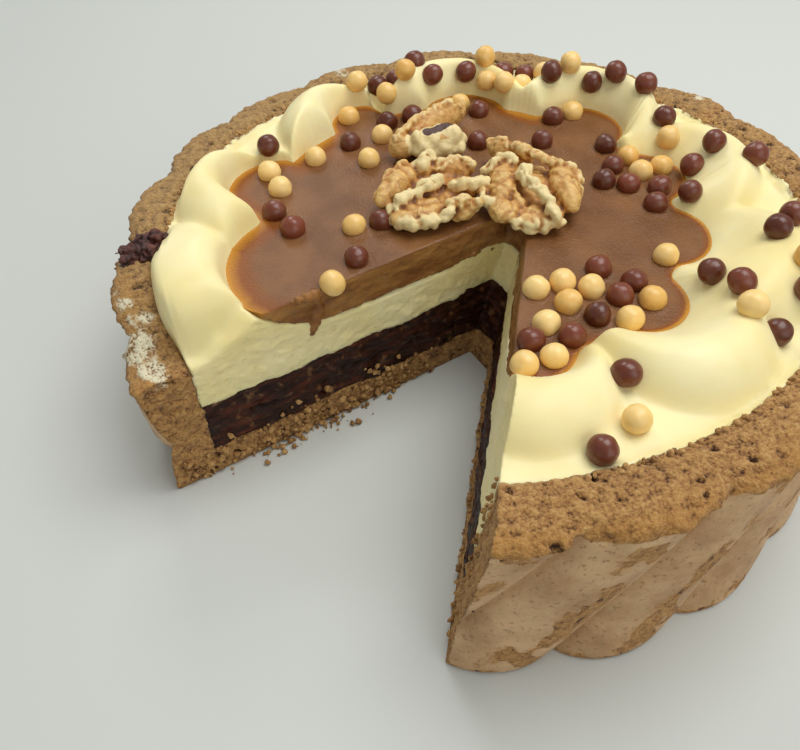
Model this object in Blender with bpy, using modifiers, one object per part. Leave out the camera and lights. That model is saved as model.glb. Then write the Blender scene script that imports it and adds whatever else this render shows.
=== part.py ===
"""A round layer gateau in a fluted sponge case, with one slice taken out.

The solids are built upwards in millimetres, around the cake's own axis at the
height of its foot: the sponge case, the dark filling, the vanilla cream with
its ring of nine scooped dollops, the caramel pool that lies in them, and three
walnut halves. Chocolate pearls are joined to the cream or to the caramel.
Angles run anticlockwise from +X, seen from above.
"""

import math

import bmesh
import bpy
from mathutils import Matrix
from mathutils import Vector

MM = 0.001
GAP = 0.3

# Sponge case.
RIM_HEIGHT = 64.5
BASE_THICKNESS = 11.0
FLUTES = 19
FLUTE_PITCH = 360.0 / FLUTES
NOTCH_RADIUS = 105.8
FLUTE_DEPTH = 4.7
RIM_NOTCH_ANGLE = 200.2
FLUTE_TWIST = 19.5
FOOT_FLARE = 2.4
FOOT_FLARE_HEIGHT = 24.0
INNER_RADIUS = 97.0
NARROW_SIDE_ANGLE = 281.0
NARROW_SIDE_DEPTH = 5.0
NARROW_SIDE_SPREAD = 36.0
SWELL_ANGLE = 200.0
SWELL_SPREAD = 12.0
SWELL_DEPTH = 3.3
SWELL_START = 2.0
SWELL_FULL = 20.0
COLUMNS_PER_FLUTE = 6
COLUMNS = FLUTES * COLUMNS_PER_FLUTE

# The rim from the inner wall (0) to the outer one (1), and its height there.
RIM_PROFILE = ((0.0, -1.6), (0.3, 0.0), (0.75, 0.2), (0.95, -1.0))
RIM_SHOULDER = 3.0
WALL_LEVELS = (0.75, 0.5, 0.28)
FOOT_LEVEL = 8.0
FOOT_ROUNDING = 1.5
FOOT_INSET = 1.2

# A lump of fruit stuck to the rim: angle, radius from the axis, height, radii.
FRUIT_LUMP = (184.0, 103.5, 64.5)
FRUIT_LUMP_RADII = (7.0, 8.5, 3.6)

# Layers, as heights above the foot.
LAYER_COLUMNS = 96
FILLING_TOP = 31.0
CARAMEL_FLOOR = 47.5
CARAMEL_TOP = 58.0
CREAM_SHELF = 61.5

# The slump of rim and cream at the left cut.
SLUMP_ANGLE = 209.5
RIM_SLUMP = 15.5
# The slumped cream falls off in (start, end, drop) steps beyond the pool, whose
# edge is at this radius on the cut and farther out by this much for each degree.
SLUMP_STEPS = ((0.0, 14.0, 5.0), (12.0, 22.0, 4.0), (28.0, 36.0, 4.0))
SLUMP_RADIUS = 62.0
SLUMP_RADIUS_GAIN = 1.25

# Slice taken out: the left cut stands upright, the right one leans back.
LEFT_CUT_SLOPE = 0.5667
LEFT_CUT_OFFSET = 7.24
LEFT_FACET_X = -1.4
LEFT_FACET_LEAN = 0.21
RIGHT_FACET = (4.0, -3.0)
RIGHT_FACET_LEAN = (0.18, 0.188)
RIGHT_CUT_ANGLE = 258.0
CUT_REACH = 190.0

# Dollops in the order they were piped, each lapping over the one before it:
# (mound angle, mound radius from the axis, mound size, crest height,
#  scoop angle, pool edge radius, scoop half width, wall reach, wall fullness).
DOLLOPS = (
    (195.0, 79.0, 25.5, 71.5, 186.0, 78.0, 21.0, 12.0, 2.0),
    (164.0, 82.0, 25.5, 72.0, 156.0, 89.0, 17.0, 12.0, 2.0),
    (125.5, 76.0, 26.5, 73.0, 118.0, 90.0, 13.0, 12.0, 1.8),
    (92.5, 73.0, 29.5, 74.5, 90.0, 86.5, 15.5, 14.0, 1.5),
    (56.0, 75.5, 30.0, 74.5, 56.0, 86.0, 16.0, 15.0, 1.5),
    (21.5, 71.0, 29.5, 73.0, 27.0, 76.0, 14.0, 22.0, 1.15),
    (344.0, 73.0, 30.0, 72.5, 358.0, 69.0, 14.5, 24.0, 1.1),
    (313.0, 69.5, 26.5, 72.5, 324.0, 64.0, 14.0, 20.0, 1.1),
    (274.0, 63.0, 26.5, 70.5, 279.0, 60.0, 13.0, 13.0, 1.15),
)
MOUND_FOOT = 50.0
MOUND_FULLNESS = 2.5
WALL_RISE = 17.0
POOL_CENTRE = (-5.0, 12.0)
POOL_RADIUS = 66.0
ARM_ROUNDING = 13.0
BASIN_SLOPE = 0.95

# Pearls.
PEARL_RADIUS = 3.85
PEARL_SINK = 0.42
PEARL_SEGMENTS = 6
PEARL_RINGS = 4

MILK_CHOCOLATE = "milk chocolate"
CARAMEL_CHOCOLATE = "caramel chocolate"


def polar(angle, radius):
    """Return x and y of a point given by its angle in degrees and radius."""
    turn = math.radians(angle)
    return radius * math.cos(turn), radius * math.sin(turn)


def angle_between(first, second):
    """Return the smallest turn from one angle to another, in degrees."""
    return (first - second + 180.0) % 360.0 - 180.0


def smooth_step(low, high, value):
    """Ease from 0 to 1 as value goes from low to high."""
    part = min(max((value - low) / (high - low), 0.0), 1.0)
    return part * part * (3.0 - 2.0 * part)


def bell(angle, centre, spread):
    """Return 1 at the centre angle, falling to 0 on both sides of it."""
    return math.exp(-((angle_between(angle, centre) / spread) ** 2))


def inner_radius(angle):
    """Return the radius of the case's inner wall."""
    return INNER_RADIUS - NARROW_SIDE_DEPTH * bell(angle, NARROW_SIDE_ANGLE, NARROW_SIDE_SPREAD)


def rim_height(angle):
    """Return the height of the rim, which slumps beside the left cut."""
    before_cut = SLUMP_ANGLE - angle % 360.0
    slump = smooth_step(22.0, 6.0, before_cut) if before_cut > -25.0 else 0.0
    ripple = 0.7 * math.sin(math.radians(5 * angle)) + 0.4 * math.sin(math.radians(13 * angle))
    return RIM_HEIGHT + ripple - RIM_SLUMP * slump


def wall_radius(angle, flute_turn, height):
    """Return the outer radius; flute_turn runs from 0 to 1 between notches."""
    bulge = (4.0 * flute_turn * (1.0 - flute_turn)) ** 0.7
    flare = FOOT_FLARE * smooth_step(FOOT_FLARE_HEIGHT, 0.0, height)
    swell = SWELL_DEPTH * bell(angle, SWELL_ANGLE, SWELL_SPREAD) * smooth_step(SWELL_START, SWELL_FULL, height)
    return NOTCH_RADIUS + swell + (FLUTE_DEPTH + flare) * bulge


def twisted_angle(rim_angle, height):
    """Follow a flute from its place at full height down to a lower height."""
    return rim_angle - FLUTE_TWIST * (1.0 - height / RIM_HEIGHT)


def mound_height(x, y, angle, radius, size, crest):
    """Return the height of a piped mound before it is scooped out."""
    middle_x, middle_y = polar(angle, radius)
    reach = math.hypot(x - middle_x, y - middle_y) / size
    if reach >= 1.0:
        return 0.0
    return MOUND_FOOT + (crest - MOUND_FOOT) * (1.0 - reach**MOUND_FULLNESS) ** (1.0 / MOUND_FULLNESS)


def wall_height(beyond, reach, fullness):
    """Return the height of a wall that starts at the pool's edge, or of the basin inside it."""
    if beyond <= 0.0:
        return max(CARAMEL_TOP + BASIN_SLOPE * beyond, CARAMEL_FLOOR)
    left = 1.0 - min(beyond / reach, 1.0)
    return CARAMEL_TOP + WALL_RISE * (1.0 - left**fullness) ** (1.0 / fullness)


def scoop_height(x, y, angle, edge, half_width, reach, fullness):
    """Return the height of a scoop, a trough with a round end that opens on the pool."""
    along_x, along_y = polar(angle, 1.0)
    along = min(max(x * along_x + y * along_y, 0.0), edge - half_width)
    beyond = math.hypot(x - along * along_x, y - along * along_y) - half_width
    return wall_height(beyond, reach, fullness)


def arm_height(x, y):
    """Return the height to which the middle of the pool rounds off the dollops' arms."""
    beyond = math.hypot(x - POOL_CENTRE[0], y - POOL_CENTRE[1]) - POOL_RADIUS
    return wall_height(beyond, ARM_ROUNDING, 2.0)


def slumped(height, angle, radius):
    """Lower the cream beside the left cut."""
    before_cut = SLUMP_ANGLE - angle
    if not -25.0 < before_cut < 24.0:
        return height
    sinking = smooth_step(24.0, 4.0, before_cut)
    beyond = radius - SLUMP_RADIUS - SLUMP_RADIUS_GAIN * max(before_cut, 0.0)
    level = CARAMEL_TOP - 0.1
    for start, end, drop in SLUMP_STEPS:
        level -= drop * smooth_step(start, end, beyond)
    return height + (min(height, level) - height) * sinking


def cream_height(x, y):
    """Return the height of the cream's upper surface."""
    angle = math.degrees(math.atan2(y, x)) % 360.0
    middle = arm_height(x, y)
    height = min(CREAM_SHELF, middle)
    for dollop in DOLLOPS:
        height = max(height, min(mound_height(x, y, *dollop[:4]), middle))
        height = min(height, scoop_height(x, y, *dollop[4:]))
    return slumped(height, angle, math.hypot(x, y))


def pool_edge(angle):
    """Return the radius where the cream first reaches the caramel's level."""
    radius = 30.0
    while radius < inner_radius(angle) - 4.0:
        if cream_height(*polar(angle, radius)) > CARAMEL_TOP - GAP:
            return radius
        radius += 0.25
    return radius


def clear_scene():
    """Empty the file of objects and their data."""
    for item in list(bpy.data.objects):
        bpy.data.objects.remove(item, do_unlink=True)
    for group in list(bpy.data.collections):
        bpy.data.collections.remove(group)
    for mesh in list(bpy.data.meshes):
        bpy.data.meshes.remove(mesh)
    for finish in list(bpy.data.materials):
        bpy.data.materials.remove(finish)


def new_collection(name):
    """Make a collection in the scene."""
    group = bpy.data.collections.new(name)
    bpy.context.scene.collection.children.link(group)
    return group


def new_material(name, colour, roughness):
    """Make a plain non-metal finish."""
    finish = bpy.data.materials.new(name)
    finish.use_nodes = True
    shader = finish.node_tree.nodes["Principled BSDF"]
    shader.inputs["Base Color"].default_value = (*colour, 1.0)
    shader.inputs["Roughness"].default_value = roughness
    shader.inputs["Metallic"].default_value = 0.0
    finish.diffuse_color = (*colour, 1.0)
    return finish


def new_object(name, mesh_builder, group, finish=None):
    """Turn a mesh under construction, in millimetres, into an object."""
    bmesh.ops.scale(mesh_builder, vec=(MM, MM, MM), verts=mesh_builder.verts)
    bmesh.ops.recalc_face_normals(mesh_builder, faces=mesh_builder.faces)
    mesh = bpy.data.meshes.new(name)
    mesh_builder.to_mesh(mesh)
    mesh_builder.free()
    item = bpy.data.objects.new(name, mesh)
    group.objects.link(item)
    if finish is not None:
        mesh.materials.append(finish)
    return item


def shade(item, angle=35.0):
    """Shade an object smooth except at its sharp edges."""
    item.data.shade_smooth()
    item.data.set_sharp_from_angle(angle=math.radians(angle))


def turned_loft(columns):
    """Close a loft of section columns that all start and end on the axis."""
    builder = bmesh.new()
    first = builder.verts.new(columns[0][0])
    last = builder.verts.new(columns[0][-1])
    rows = [[builder.verts.new(point) for point in column[1:-1]] for column in columns]
    for here, ahead in zip(rows, rows[1:] + rows[:1]):
        builder.faces.new((first, here[0], ahead[0]))
        builder.faces.new((here[-1], last, ahead[-1]))
        for index in range(len(here) - 1):
            builder.faces.new((here[index], here[index + 1], ahead[index + 1], ahead[index]))
    bmesh.ops.recalc_face_normals(builder, faces=builder.faces)
    bmesh.ops.triangulate(builder, faces=builder.faces)
    return builder


def ellipsoid(builder, centre, radii, heading, detail):
    """Add a ball stretched along its own axes and turned to a heading."""
    placing = Matrix.Translation(Vector(centre)) @ Matrix.Rotation(math.radians(heading), 4, "Z")
    placing = placing @ Matrix.Diagonal((*radii, 1.0))
    bmesh.ops.create_icosphere(builder, subdivisions=detail, radius=1.0, matrix=placing)


def case_column(index):
    """Return one section of the case, from the base's top round to its underside."""
    rim_angle = RIM_NOTCH_ANGLE + index * FLUTE_PITCH / COLUMNS_PER_FLUTE
    flute_turn = (index % COLUMNS_PER_FLUTE) / COLUMNS_PER_FLUTE
    top = rim_height(rim_angle)
    top = rim_height(twisted_angle(rim_angle, top))
    crown_angle = twisted_angle(rim_angle, top)
    inside = inner_radius(crown_angle)
    outside = wall_radius(crown_angle, flute_turn, top)
    column = [(0.0, 0.0, BASE_THICKNESS), (*polar(crown_angle, inside), BASE_THICKNESS)]
    for across, rise in RIM_PROFILE:
        column.append((*polar(crown_angle, inside + across * (outside - inside)), top + rise))
    heights = [top - RIM_SHOULDER]
    heights += [level * top for level in WALL_LEVELS]
    heights += [FOOT_LEVEL, FOOT_ROUNDING]
    for height in heights:
        angle = twisted_angle(rim_angle, height)
        column.append((*polar(angle, wall_radius(angle, flute_turn, height)), height))
    foot_angle = twisted_angle(rim_angle, 0.0)
    foot = wall_radius(foot_angle, flute_turn, 0.0) - FOOT_INSET
    column.append((*polar(foot_angle, foot), 0.0))
    column.append((0.0, 0.0, 0.0))
    return column


def make_case(group, finish):
    """Build the fluted case, with the lump of fruit that sticks to its rim."""
    item = new_object(
        "sponge_case",
        turned_loft([case_column(index) for index in range(COLUMNS)]),
        group,
        finish,
    )
    lump = bmesh.new()
    angle, radius, height = FRUIT_LUMP
    ellipsoid(lump, (*polar(angle, radius), height), FRUIT_LUMP_RADII, 0.0, 1)
    fuse(item, [new_object("fruit_lump", lump, group)])
    return item


def make_filling(group, finish):
    """Build the dark layer between the base and the cream."""
    columns = []
    for index in range(LAYER_COLUMNS):
        angle = index * 360.0 / LAYER_COLUMNS
        edge = polar(angle, inner_radius(angle) - GAP)
        columns.append(
            [
                (0.0, 0.0, FILLING_TOP),
                (*edge, FILLING_TOP),
                (*edge, BASE_THICKNESS + GAP),
                (0.0, 0.0, BASE_THICKNESS + GAP),
            ]
        )
    return new_object("filling", turned_loft(columns), group, finish)


# Rings of the loft: shares of the way to the pool's edge, then from there to the case.
POOL_STEPS = (0.55, 0.85, 1.0)
BANK_STEPS = (0.06, 0.14, 0.24, 0.35, 0.48, 0.62, 0.76, 0.88, 0.95, 1.0)


def make_cream(group, finish):
    """Build the cream layer, with the basin of the pool and the ring of dollops."""
    columns = []
    for index in range(LAYER_COLUMNS):
        angle = index * 360.0 / LAYER_COLUMNS
        edge = pool_edge(angle)
        wall = inner_radius(angle) - GAP
        column = [(0.0, 0.0, CARAMEL_FLOOR)]
        for step in POOL_STEPS:
            x, y = polar(angle, edge * step)
            column.append((x, y, min(cream_height(x, y), CARAMEL_TOP - GAP)))
        for step in BANK_STEPS:
            x, y = polar(angle, edge + step * (wall - edge))
            column.append((x, y, cream_height(x, y)))
        column.append((*polar(angle, wall), FILLING_TOP + GAP))
        column.append((0.0, 0.0, FILLING_TOP + GAP))
        columns.append(column)
    return new_object("cream", turned_loft(columns), group, finish)


def make_caramel(group, finish):
    """Build the pool, whose underside follows the cream."""
    columns = []
    for index in range(LAYER_COLUMNS):
        angle = index * 360.0 / LAYER_COLUMNS
        edge = pool_edge(angle)
        column = [(0.0, 0.0, CARAMEL_TOP)]
        column += [(*polar(angle, edge * step), CARAMEL_TOP) for step in POOL_STEPS[:-1]]
        column.append((*polar(angle, edge - 0.1), CARAMEL_TOP - 0.05))
        for step in reversed(POOL_STEPS[:-1]):
            x, y = polar(angle, edge * step)
            column.append((x, y, min(cream_height(x, y) + GAP, CARAMEL_TOP - 0.4)))
        column.append((0.0, 0.0, CARAMEL_FLOOR + GAP))
        columns.append(column)
    return new_object("caramel", turned_loft(columns), group, finish)


# Walnut halves as lobes: (x, y, z), (length, width, height as radii), heading.
WALNUT_LEFT = (
    ((-15.0, 20.0, 62.2), (16.0, 12.5, 3.8), 20.0),
    ((-27.2, 22.5, 64.0), (12.0, 6.2, 5.4), 52.0),
    ((-17.0, 30.0, 65.0), (5.0, 4.2, 5.0), 20.0),
    ((-7.5, 31.0, 63.8), (7.5, 4.6, 4.6), 170.0),
    ((-20.5, 11.8, 65.8), (10.0, 4.4, 4.2), 48.0),
    ((-5.3, 19.0, 66.0), (6.8, 4.0, 4.0), 8.0),
    ((-18.0, 6.5, 62.6), (10.5, 4.8, 4.0), 355.0),
    ((-7.0, 9.2, 63.4), (5.2, 4.8, 4.8), 0.0),
)
WALNUT_RIGHT = (
    ((16.5, 18.0, 62.2), (13.0, 15.5, 3.8), 0.0),
    ((11.8, 36.5, 64.2), (9.0, 4.2, 4.6), 329.0),
    ((9.2, 19.0, 65.4), (12.5, 6.2, 5.8), 78.0),
    ((7.2, 5.2, 63.6), (5.4, 4.8, 4.8), 20.0),
    ((4.4, 12.6, 63.6), (3.2, 3.4, 3.6), 0.0),
    ((26.0, 17.0, 64.8), (12.5, 6.0, 5.8), 94.0),
    ((19.0, 11.5, 67.4), (11.0, 3.4, 4.0), 88.0),
    ((17.5, 2.6, 62.6), (10.5, 4.4, 4.0), 4.0),
)
WALNUT_BACK = (
    ((-12.5, 57.5, 64.8), (16.0, 6.0, 6.2), 41.0),
    ((-11.0, 46.2, 64.6), (11.0, 5.6, 5.8), 4.0),
    ((-24.0, 45.5, 63.2), (5.4, 5.0, 4.6), 60.0),
)
WALNUT_GRAIN = 1.3
WALNUT_TRIANGLE_SHARE = 0.12


def make_walnut(name, lobes, group, finish):
    """Melt a walnut half's lobes together into one closed piece."""
    builder = bmesh.new()
    for centre, radii, heading in lobes:
        ellipsoid(builder, centre, radii, heading, 3)
    item = new_object(name, builder, group, finish)
    melt = item.modifiers.new("melt", "REMESH")
    melt.mode = "VOXEL"
    melt.voxel_size = WALNUT_GRAIN * MM
    thin = item.modifiers.new("thin", "DECIMATE")
    thin.ratio = WALNUT_TRIANGLE_SHARE
    bake(item)
    return item


# Pearls as (angle, radius from the axis, kind), by the place where they lie.
D = MILK_CHOCOLATE
L = CARAMEL_CHOCOLATE
PEARLS_ON_CARAMEL = (
    # The back of the pool, from the left.
    (121, 83, L), (113.5, 72.5, D), (105.5, 73, D), (118, 65.5, L), (128, 68.5, D), (129.5, 56, L),
    (140, 70.5, L),
    # The left of the pool, with one pearl hanging over the cut.
    (151.5, 79, L), (156.5, 71, L), (166.5, 68, D), (173.5, 60, D), (170.5, 41, L), (165, 33, D),
    (192.5, 40.5, D), (203, 50.5, L),
    # Behind the walnuts.
    (91, 77.5, L), (86, 72.5, D), (87, 51.5, D), (63.5, 56.5, D), (64.5, 73, D), (60.5, 79, L),
    # The group on the right.
    (45, 66, D), (36.5, 65.5, L), (27.5, 70.5, L), (36, 57.5, D), (31.5, 49, D), (25, 54.5, D),
    (28.5, 62.5, L), (19.5, 62.5, D), (12.5, 57, D),
    # The group by the right cut.
    (346, 54, L), (331, 36, D), (329.5, 47, D), (295.5, 28, L), (311, 30.5, L), (302.5, 37.5, L),
    (317, 38, L), (320, 46, D), (324.5, 54, L), (306.5, 46, D), (312.5, 53, L), (288, 41.5, L),
    (293, 48.5, D), (279.5, 46.5, D), (284, 53.5, L), (275, 54.5, L),
)
PEARLS_ON_CREAM = (
    # The back rim, from the left.
    (115.5, 91.5, L), (110.6, 90.5, D), (105.8, 92.5, D), (101, 92.5, D), (111, 80, L), (105, 83.5, L),
    (97.5, 86, D), (89, 88.5, D), (84, 85.5, L), (84.5, 92.5, L), (80, 92.5, D), (75, 92.5, D),
    (79.5, 81.5, L), (75, 85, L), (70.5, 91, L), (68, 84, D), (64.5, 90.5, L),
    (58.5, 88.5, D), (54, 92, D),
    # The right side.
    (46, 90, D), (37, 83, D), (32.5, 78.5, L), (22, 76.5, D), (22.5, 84, D), (11, 67, D), (14, 90, D),
    (352.5, 87, D), (348, 82, D), (340, 89, L), (334, 90.5, D), (335, 66, D), (330, 74, D),
    (323, 79, L), (324.5, 87, D),
    # The front and the left side.
    (294, 69.5, D), (290, 82, L), (282, 87.5, D), (146, 84.5, D),
)


def place_pearls(places, surface, group):
    """Make a ball for each pearl, sunk a little into the surface under it."""
    pearls = []
    for number, (angle, radius, _) in enumerate(places):
        x, y = polar(angle, radius)
        builder = bmesh.new()
        centre = Vector((x, y, surface(x, y) + PEARL_RADIUS * (1.0 - PEARL_SINK)))
        bmesh.ops.create_uvsphere(
            builder,
            u_segments=PEARL_SEGMENTS,
            v_segments=PEARL_RINGS,
            radius=PEARL_RADIUS,
            matrix=Matrix.Translation(centre),
        )
        pearls.append(new_object(f"pearl_{number:02d}", builder, group))
    return pearls


def make_slice_cutter(group):
    """Build the wedge that the missing slice leaves."""
    builder = bmesh.new()
    for height in (-10.0, 110.0):
        left_x = LEFT_FACET_X + LEFT_FACET_LEAN * height
        left = (left_x, LEFT_CUT_SLOPE * left_x + LEFT_CUT_OFFSET)
        right = tuple(RIGHT_FACET[axis] + RIGHT_FACET_LEAN[axis] * height for axis in (0, 1))
        left_out = polar(180.0 + math.degrees(math.atan(LEFT_CUT_SLOPE)), CUT_REACH)
        right_out = polar(RIGHT_CUT_ANGLE, CUT_REACH)
        builder.verts.new((*left, height))
        builder.verts.new((*right, height))
        builder.verts.new((left[0] + left_out[0], left[1] + left_out[1], height))
        builder.verts.new((right[0] + right_out[0], right[1] + right_out[1], height))
    bmesh.ops.convex_hull(builder, input=builder.verts)
    cutter = new_object("slice", builder, group)
    cutter.hide_render = True
    cutter.display_type = "WIRE"
    return cutter


def bake(item):
    """Replace an object's mesh by its evaluated one and drop its modifiers."""
    depsgraph = bpy.context.evaluated_depsgraph_get()
    mesh = bpy.data.meshes.new_from_object(item.evaluated_get(depsgraph))
    item.modifiers.clear()
    item.data = mesh


def fuse(item, pieces):
    """Join overlapping pieces to an object with one union, and remove them."""
    joined = bpy.data.collections.new(item.name + "_toppings")
    for piece in pieces:
        joined.objects.link(piece)
    union = item.modifiers.new("union", "BOOLEAN")
    union.operation = "UNION"
    union.operand_type = "COLLECTION"
    union.collection = joined
    union.solver = "EXACT"
    bake(item)
    for piece in pieces:
        bpy.data.objects.remove(piece, do_unlink=True)
    bpy.data.collections.remove(joined)


def cut(item, cutter):
    """Take the slice out of an object."""
    difference = item.modifiers.new("slice", "BOOLEAN")
    difference.operation = "DIFFERENCE"
    difference.object = cutter
    difference.solver = "EXACT"
    bake(item)


def main():
    """Build every piece of the cake."""
    clear_scene()
    parts = new_collection("gateau")
    cutters = new_collection("cutters")
    sponge = new_material("sponge", (0.33, 0.18, 0.09), 0.85)
    cherry = new_material("dark filling", (0.06, 0.018, 0.014), 0.45)
    vanilla = new_material("vanilla cream", (0.85, 0.76, 0.48), 0.4)
    toffee = new_material("caramel", (0.26, 0.12, 0.06), 0.3)
    walnut = new_material("walnut", (0.5, 0.29, 0.12), 0.6)

    case = make_case(parts, sponge)
    filling = make_filling(parts, cherry)
    cream = make_cream(parts, vanilla)
    caramel = make_caramel(parts, toffee)
    slice_cutter = make_slice_cutter(cutters)
    for layer in (case, filling, cream, caramel):
        cut(layer, slice_cutter)
    fuse(cream, place_pearls(PEARLS_ON_CREAM, cream_height, parts))
    fuse(caramel, place_pearls(PEARLS_ON_CARAMEL, lambda x, y: CARAMEL_TOP, parts))
    for layer in (case, filling, cream, caramel):
        shade(layer)

    halves = {"walnut_left": WALNUT_LEFT, "walnut_right": WALNUT_RIGHT, "walnut_back": WALNUT_BACK}
    for name, lobes in halves.items():
        shade(make_walnut(name, lobes, parts, walnut))


main()
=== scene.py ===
"""Looks of a round spice cake in a fluted sponge case, with a slice taken out.

Every food is a closed mesh of its own at true size. The layers are turned about the
cake's axis, the slice is cut out of them, and Geometry Nodes give the cut faces, the
crumb and the skin their relief. Sizes are millimetres until a mesh becomes an object.
"""

import logging
import math
from dataclasses import dataclass
from enum import Enum
from functools import cache
from functools import partial
from typing import Any

import bmesh
import bpy
import numpy as np
from mathutils import Matrix
from mathutils import Vector
from mathutils import noise
from mathutils.geometry import delaunay_2d_cdt
from mathutils.kdtree import KDTree


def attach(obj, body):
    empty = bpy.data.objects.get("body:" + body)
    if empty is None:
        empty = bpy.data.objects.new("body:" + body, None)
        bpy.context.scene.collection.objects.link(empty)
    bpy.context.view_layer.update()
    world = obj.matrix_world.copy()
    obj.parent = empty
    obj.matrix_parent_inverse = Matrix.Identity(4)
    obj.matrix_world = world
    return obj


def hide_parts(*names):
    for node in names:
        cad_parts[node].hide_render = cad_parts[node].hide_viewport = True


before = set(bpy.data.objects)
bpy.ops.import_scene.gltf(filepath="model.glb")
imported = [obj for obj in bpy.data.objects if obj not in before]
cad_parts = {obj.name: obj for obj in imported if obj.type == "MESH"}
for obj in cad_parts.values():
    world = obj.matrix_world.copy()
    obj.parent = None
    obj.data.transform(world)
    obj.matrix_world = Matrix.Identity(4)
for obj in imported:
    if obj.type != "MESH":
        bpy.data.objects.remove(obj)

# Short names for types
Array, Piece, Finish, Tree = np.ndarray, bpy.types.Object, bpy.types.Material, bpy.types.NodeTree

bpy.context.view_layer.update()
MM = 0.001
LOG = logging.getLogger("spice_cake")
BODY = "root"

# Short names for kinds of node and for settings that many nodes share
NOISE, CELLS, ATTRIBUTE = "ShaderNodeTexNoise", "ShaderNodeTexVoronoi", "ShaderNodeAttribute"
RANGE, MATHS, RAMP, MIX = "ShaderNodeMapRange", "ShaderNodeMath", "ShaderNodeValToRGB", "ShaderNodeMix"
VECTORS, MAPPING = "ShaderNodeVectorMath", "ShaderNodeMapping"
STORED, MOVED = "GeometryNodeInputNamedAttribute", "GeometryNodeSetPosition"
SOFT = {"interpolation_type": "SMOOTHSTEP"}
COLOURS = {"data_type": "RGBA"}
NUMBER = {"data_type": "FLOAT"}
SEEDED = {"noise_dimensions": "4D"}
TIMES, PLUS, MINUS, TIMES_PLUS, SCALED = (
    {"operation": word} for word in ("MULTIPLY", "ADD", "SUBTRACT", "MULTIPLY_ADD", "SCALE")
)
SOCKETS = {float: "NodeSocketFloat", int: "NodeSocketInt", tuple: "NodeSocketVector"}


def linear(hex_colour: str) -> tuple[float, float, float, float]:
    """Turn an sRGB hex colour to linear light.

    Args:
        hex_colour: The colour as "#RRGGBB".

    Returns:
        Red, green, blue and an alpha of 1.
    """
    channels = [int(hex_colour[start : start + 2], 16) / 255.0 for start in (1, 3, 5)]
    lit = [c / 12.92 if c <= 0.04045 else ((c + 0.055) / 1.055) ** 2.4 for c in channels]
    return lit[0], lit[1], lit[2], 1.0


def per_metre(size_mm: float) -> float:
    """Return the texture scale whose features are about this many millimetres wide."""
    return 1.0 / (size_mm * MM)


def feed(tree: Tree, socket: bpy.types.NodeSocket, value: Any) -> None:
    """Link an input or give it a plain value.

    Args:
        tree: The tree that holds the input.
        socket: The input.
        value: A socket, a node (which stands for its first output), a hex colour or a value.
    """
    if isinstance(value, bpy.types.Node):
        value = next(entry for entry in value.outputs if entry.enabled)
    if isinstance(value, bpy.types.NodeSocket):
        tree.links.new(value, socket)
    else:
        is_colour = isinstance(value, str) and value.startswith("#")
        socket.default_value = linear(value) if is_colour else value


def add_node(
    tree: Tree,
    kind: str,
    *first: Any,
    stops: tuple[tuple[float, str], ...] = (),
    **named: Any,
) -> bpy.types.Node:
    """Add a node with its settings and links.

    Args:
        tree: The tree that gets the node.
        kind: The node's type name.
        first: What its first inputs get, in order.
        stops: Places and hex colours of a colour ramp, the outer two first.
        named: Settings of the node, which start small, and inputs by name, which start
            with a capital and have an underscore for a space.

    Returns:
        The new node.
    """
    node = tree.nodes.new(kind)
    for name, value in named.items():
        if name[0].islower():
            setattr(node, name, value)
    for index, value in enumerate(first):
        feed(tree, node.inputs[index], value)
    for name, value in named.items():
        if name[0].isupper():
            label = name.replace("_", " ")
            feed(tree, next(slot for slot in node.inputs if slot.enabled and slot.name == label), value)
    for index, (place, colour) in enumerate(stops):
        ramp = node.color_ramp.elements
        stop = ramp[index] if index < 2 else ramp.new(place)
        stop.position = place
        stop.color = linear(colour)
    return node


def smooth_step(low: float, high: float, value: Array) -> Array:
    """Ease from 0 to 1 as the value goes from low to high."""
    part = np.clip((np.asarray(value, float) - low) / (high - low), 0.0, 1.0)
    return part * part * (3.0 - 2.0 * part)


def soft_lower(first: Array, second: Array, width: float) -> Array:
    """Return the lower of two heights, rounding the ridge where they meet."""
    near = np.maximum(width - np.abs(first - second), 0.0) / width
    return np.minimum(first, second) - near * near * width / 4.0


def polar(angle: Array, radius: Array) -> tuple[Array, Array]:
    """Return x and y for angles in degrees and radii."""
    turn = np.radians(angle)
    return radius * np.cos(turn), radius * np.sin(turn)


def cloud(points: Array, size_mm: float, seed: float = 0.0) -> Array:
    """Return soft noise, from about -1 to 1, whose patches are about this wide."""
    shift = Vector((seed, 0.3 * seed, -0.7 * seed))
    return np.array([noise.noise(Vector(point) / size_mm + shift) for point in points])


def degrees_of(x: Array, y: Array) -> Array:
    """Return the angle of points about the axis, from 0 to 360 degrees."""
    return np.degrees(np.arctan2(y, x)) % 360.0


def angle_from(angle: Array, middle: float) -> Array:
    """Return how far angles are from a middle one, from -180 to 180 degrees."""
    return (np.asarray(angle, float) - middle + 180.0) % 360.0 - 180.0


@dataclass(frozen=True)
class Dollop:
    """One piped mound of cream and the scoop pressed into its inner side."""

    mound_angle: float
    mound_radius: float
    mound_size: float
    crest: float
    scoop_angle: float
    pool_edge: float
    half_width: float
    wall_reach: float
    wall_fullness: float


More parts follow.
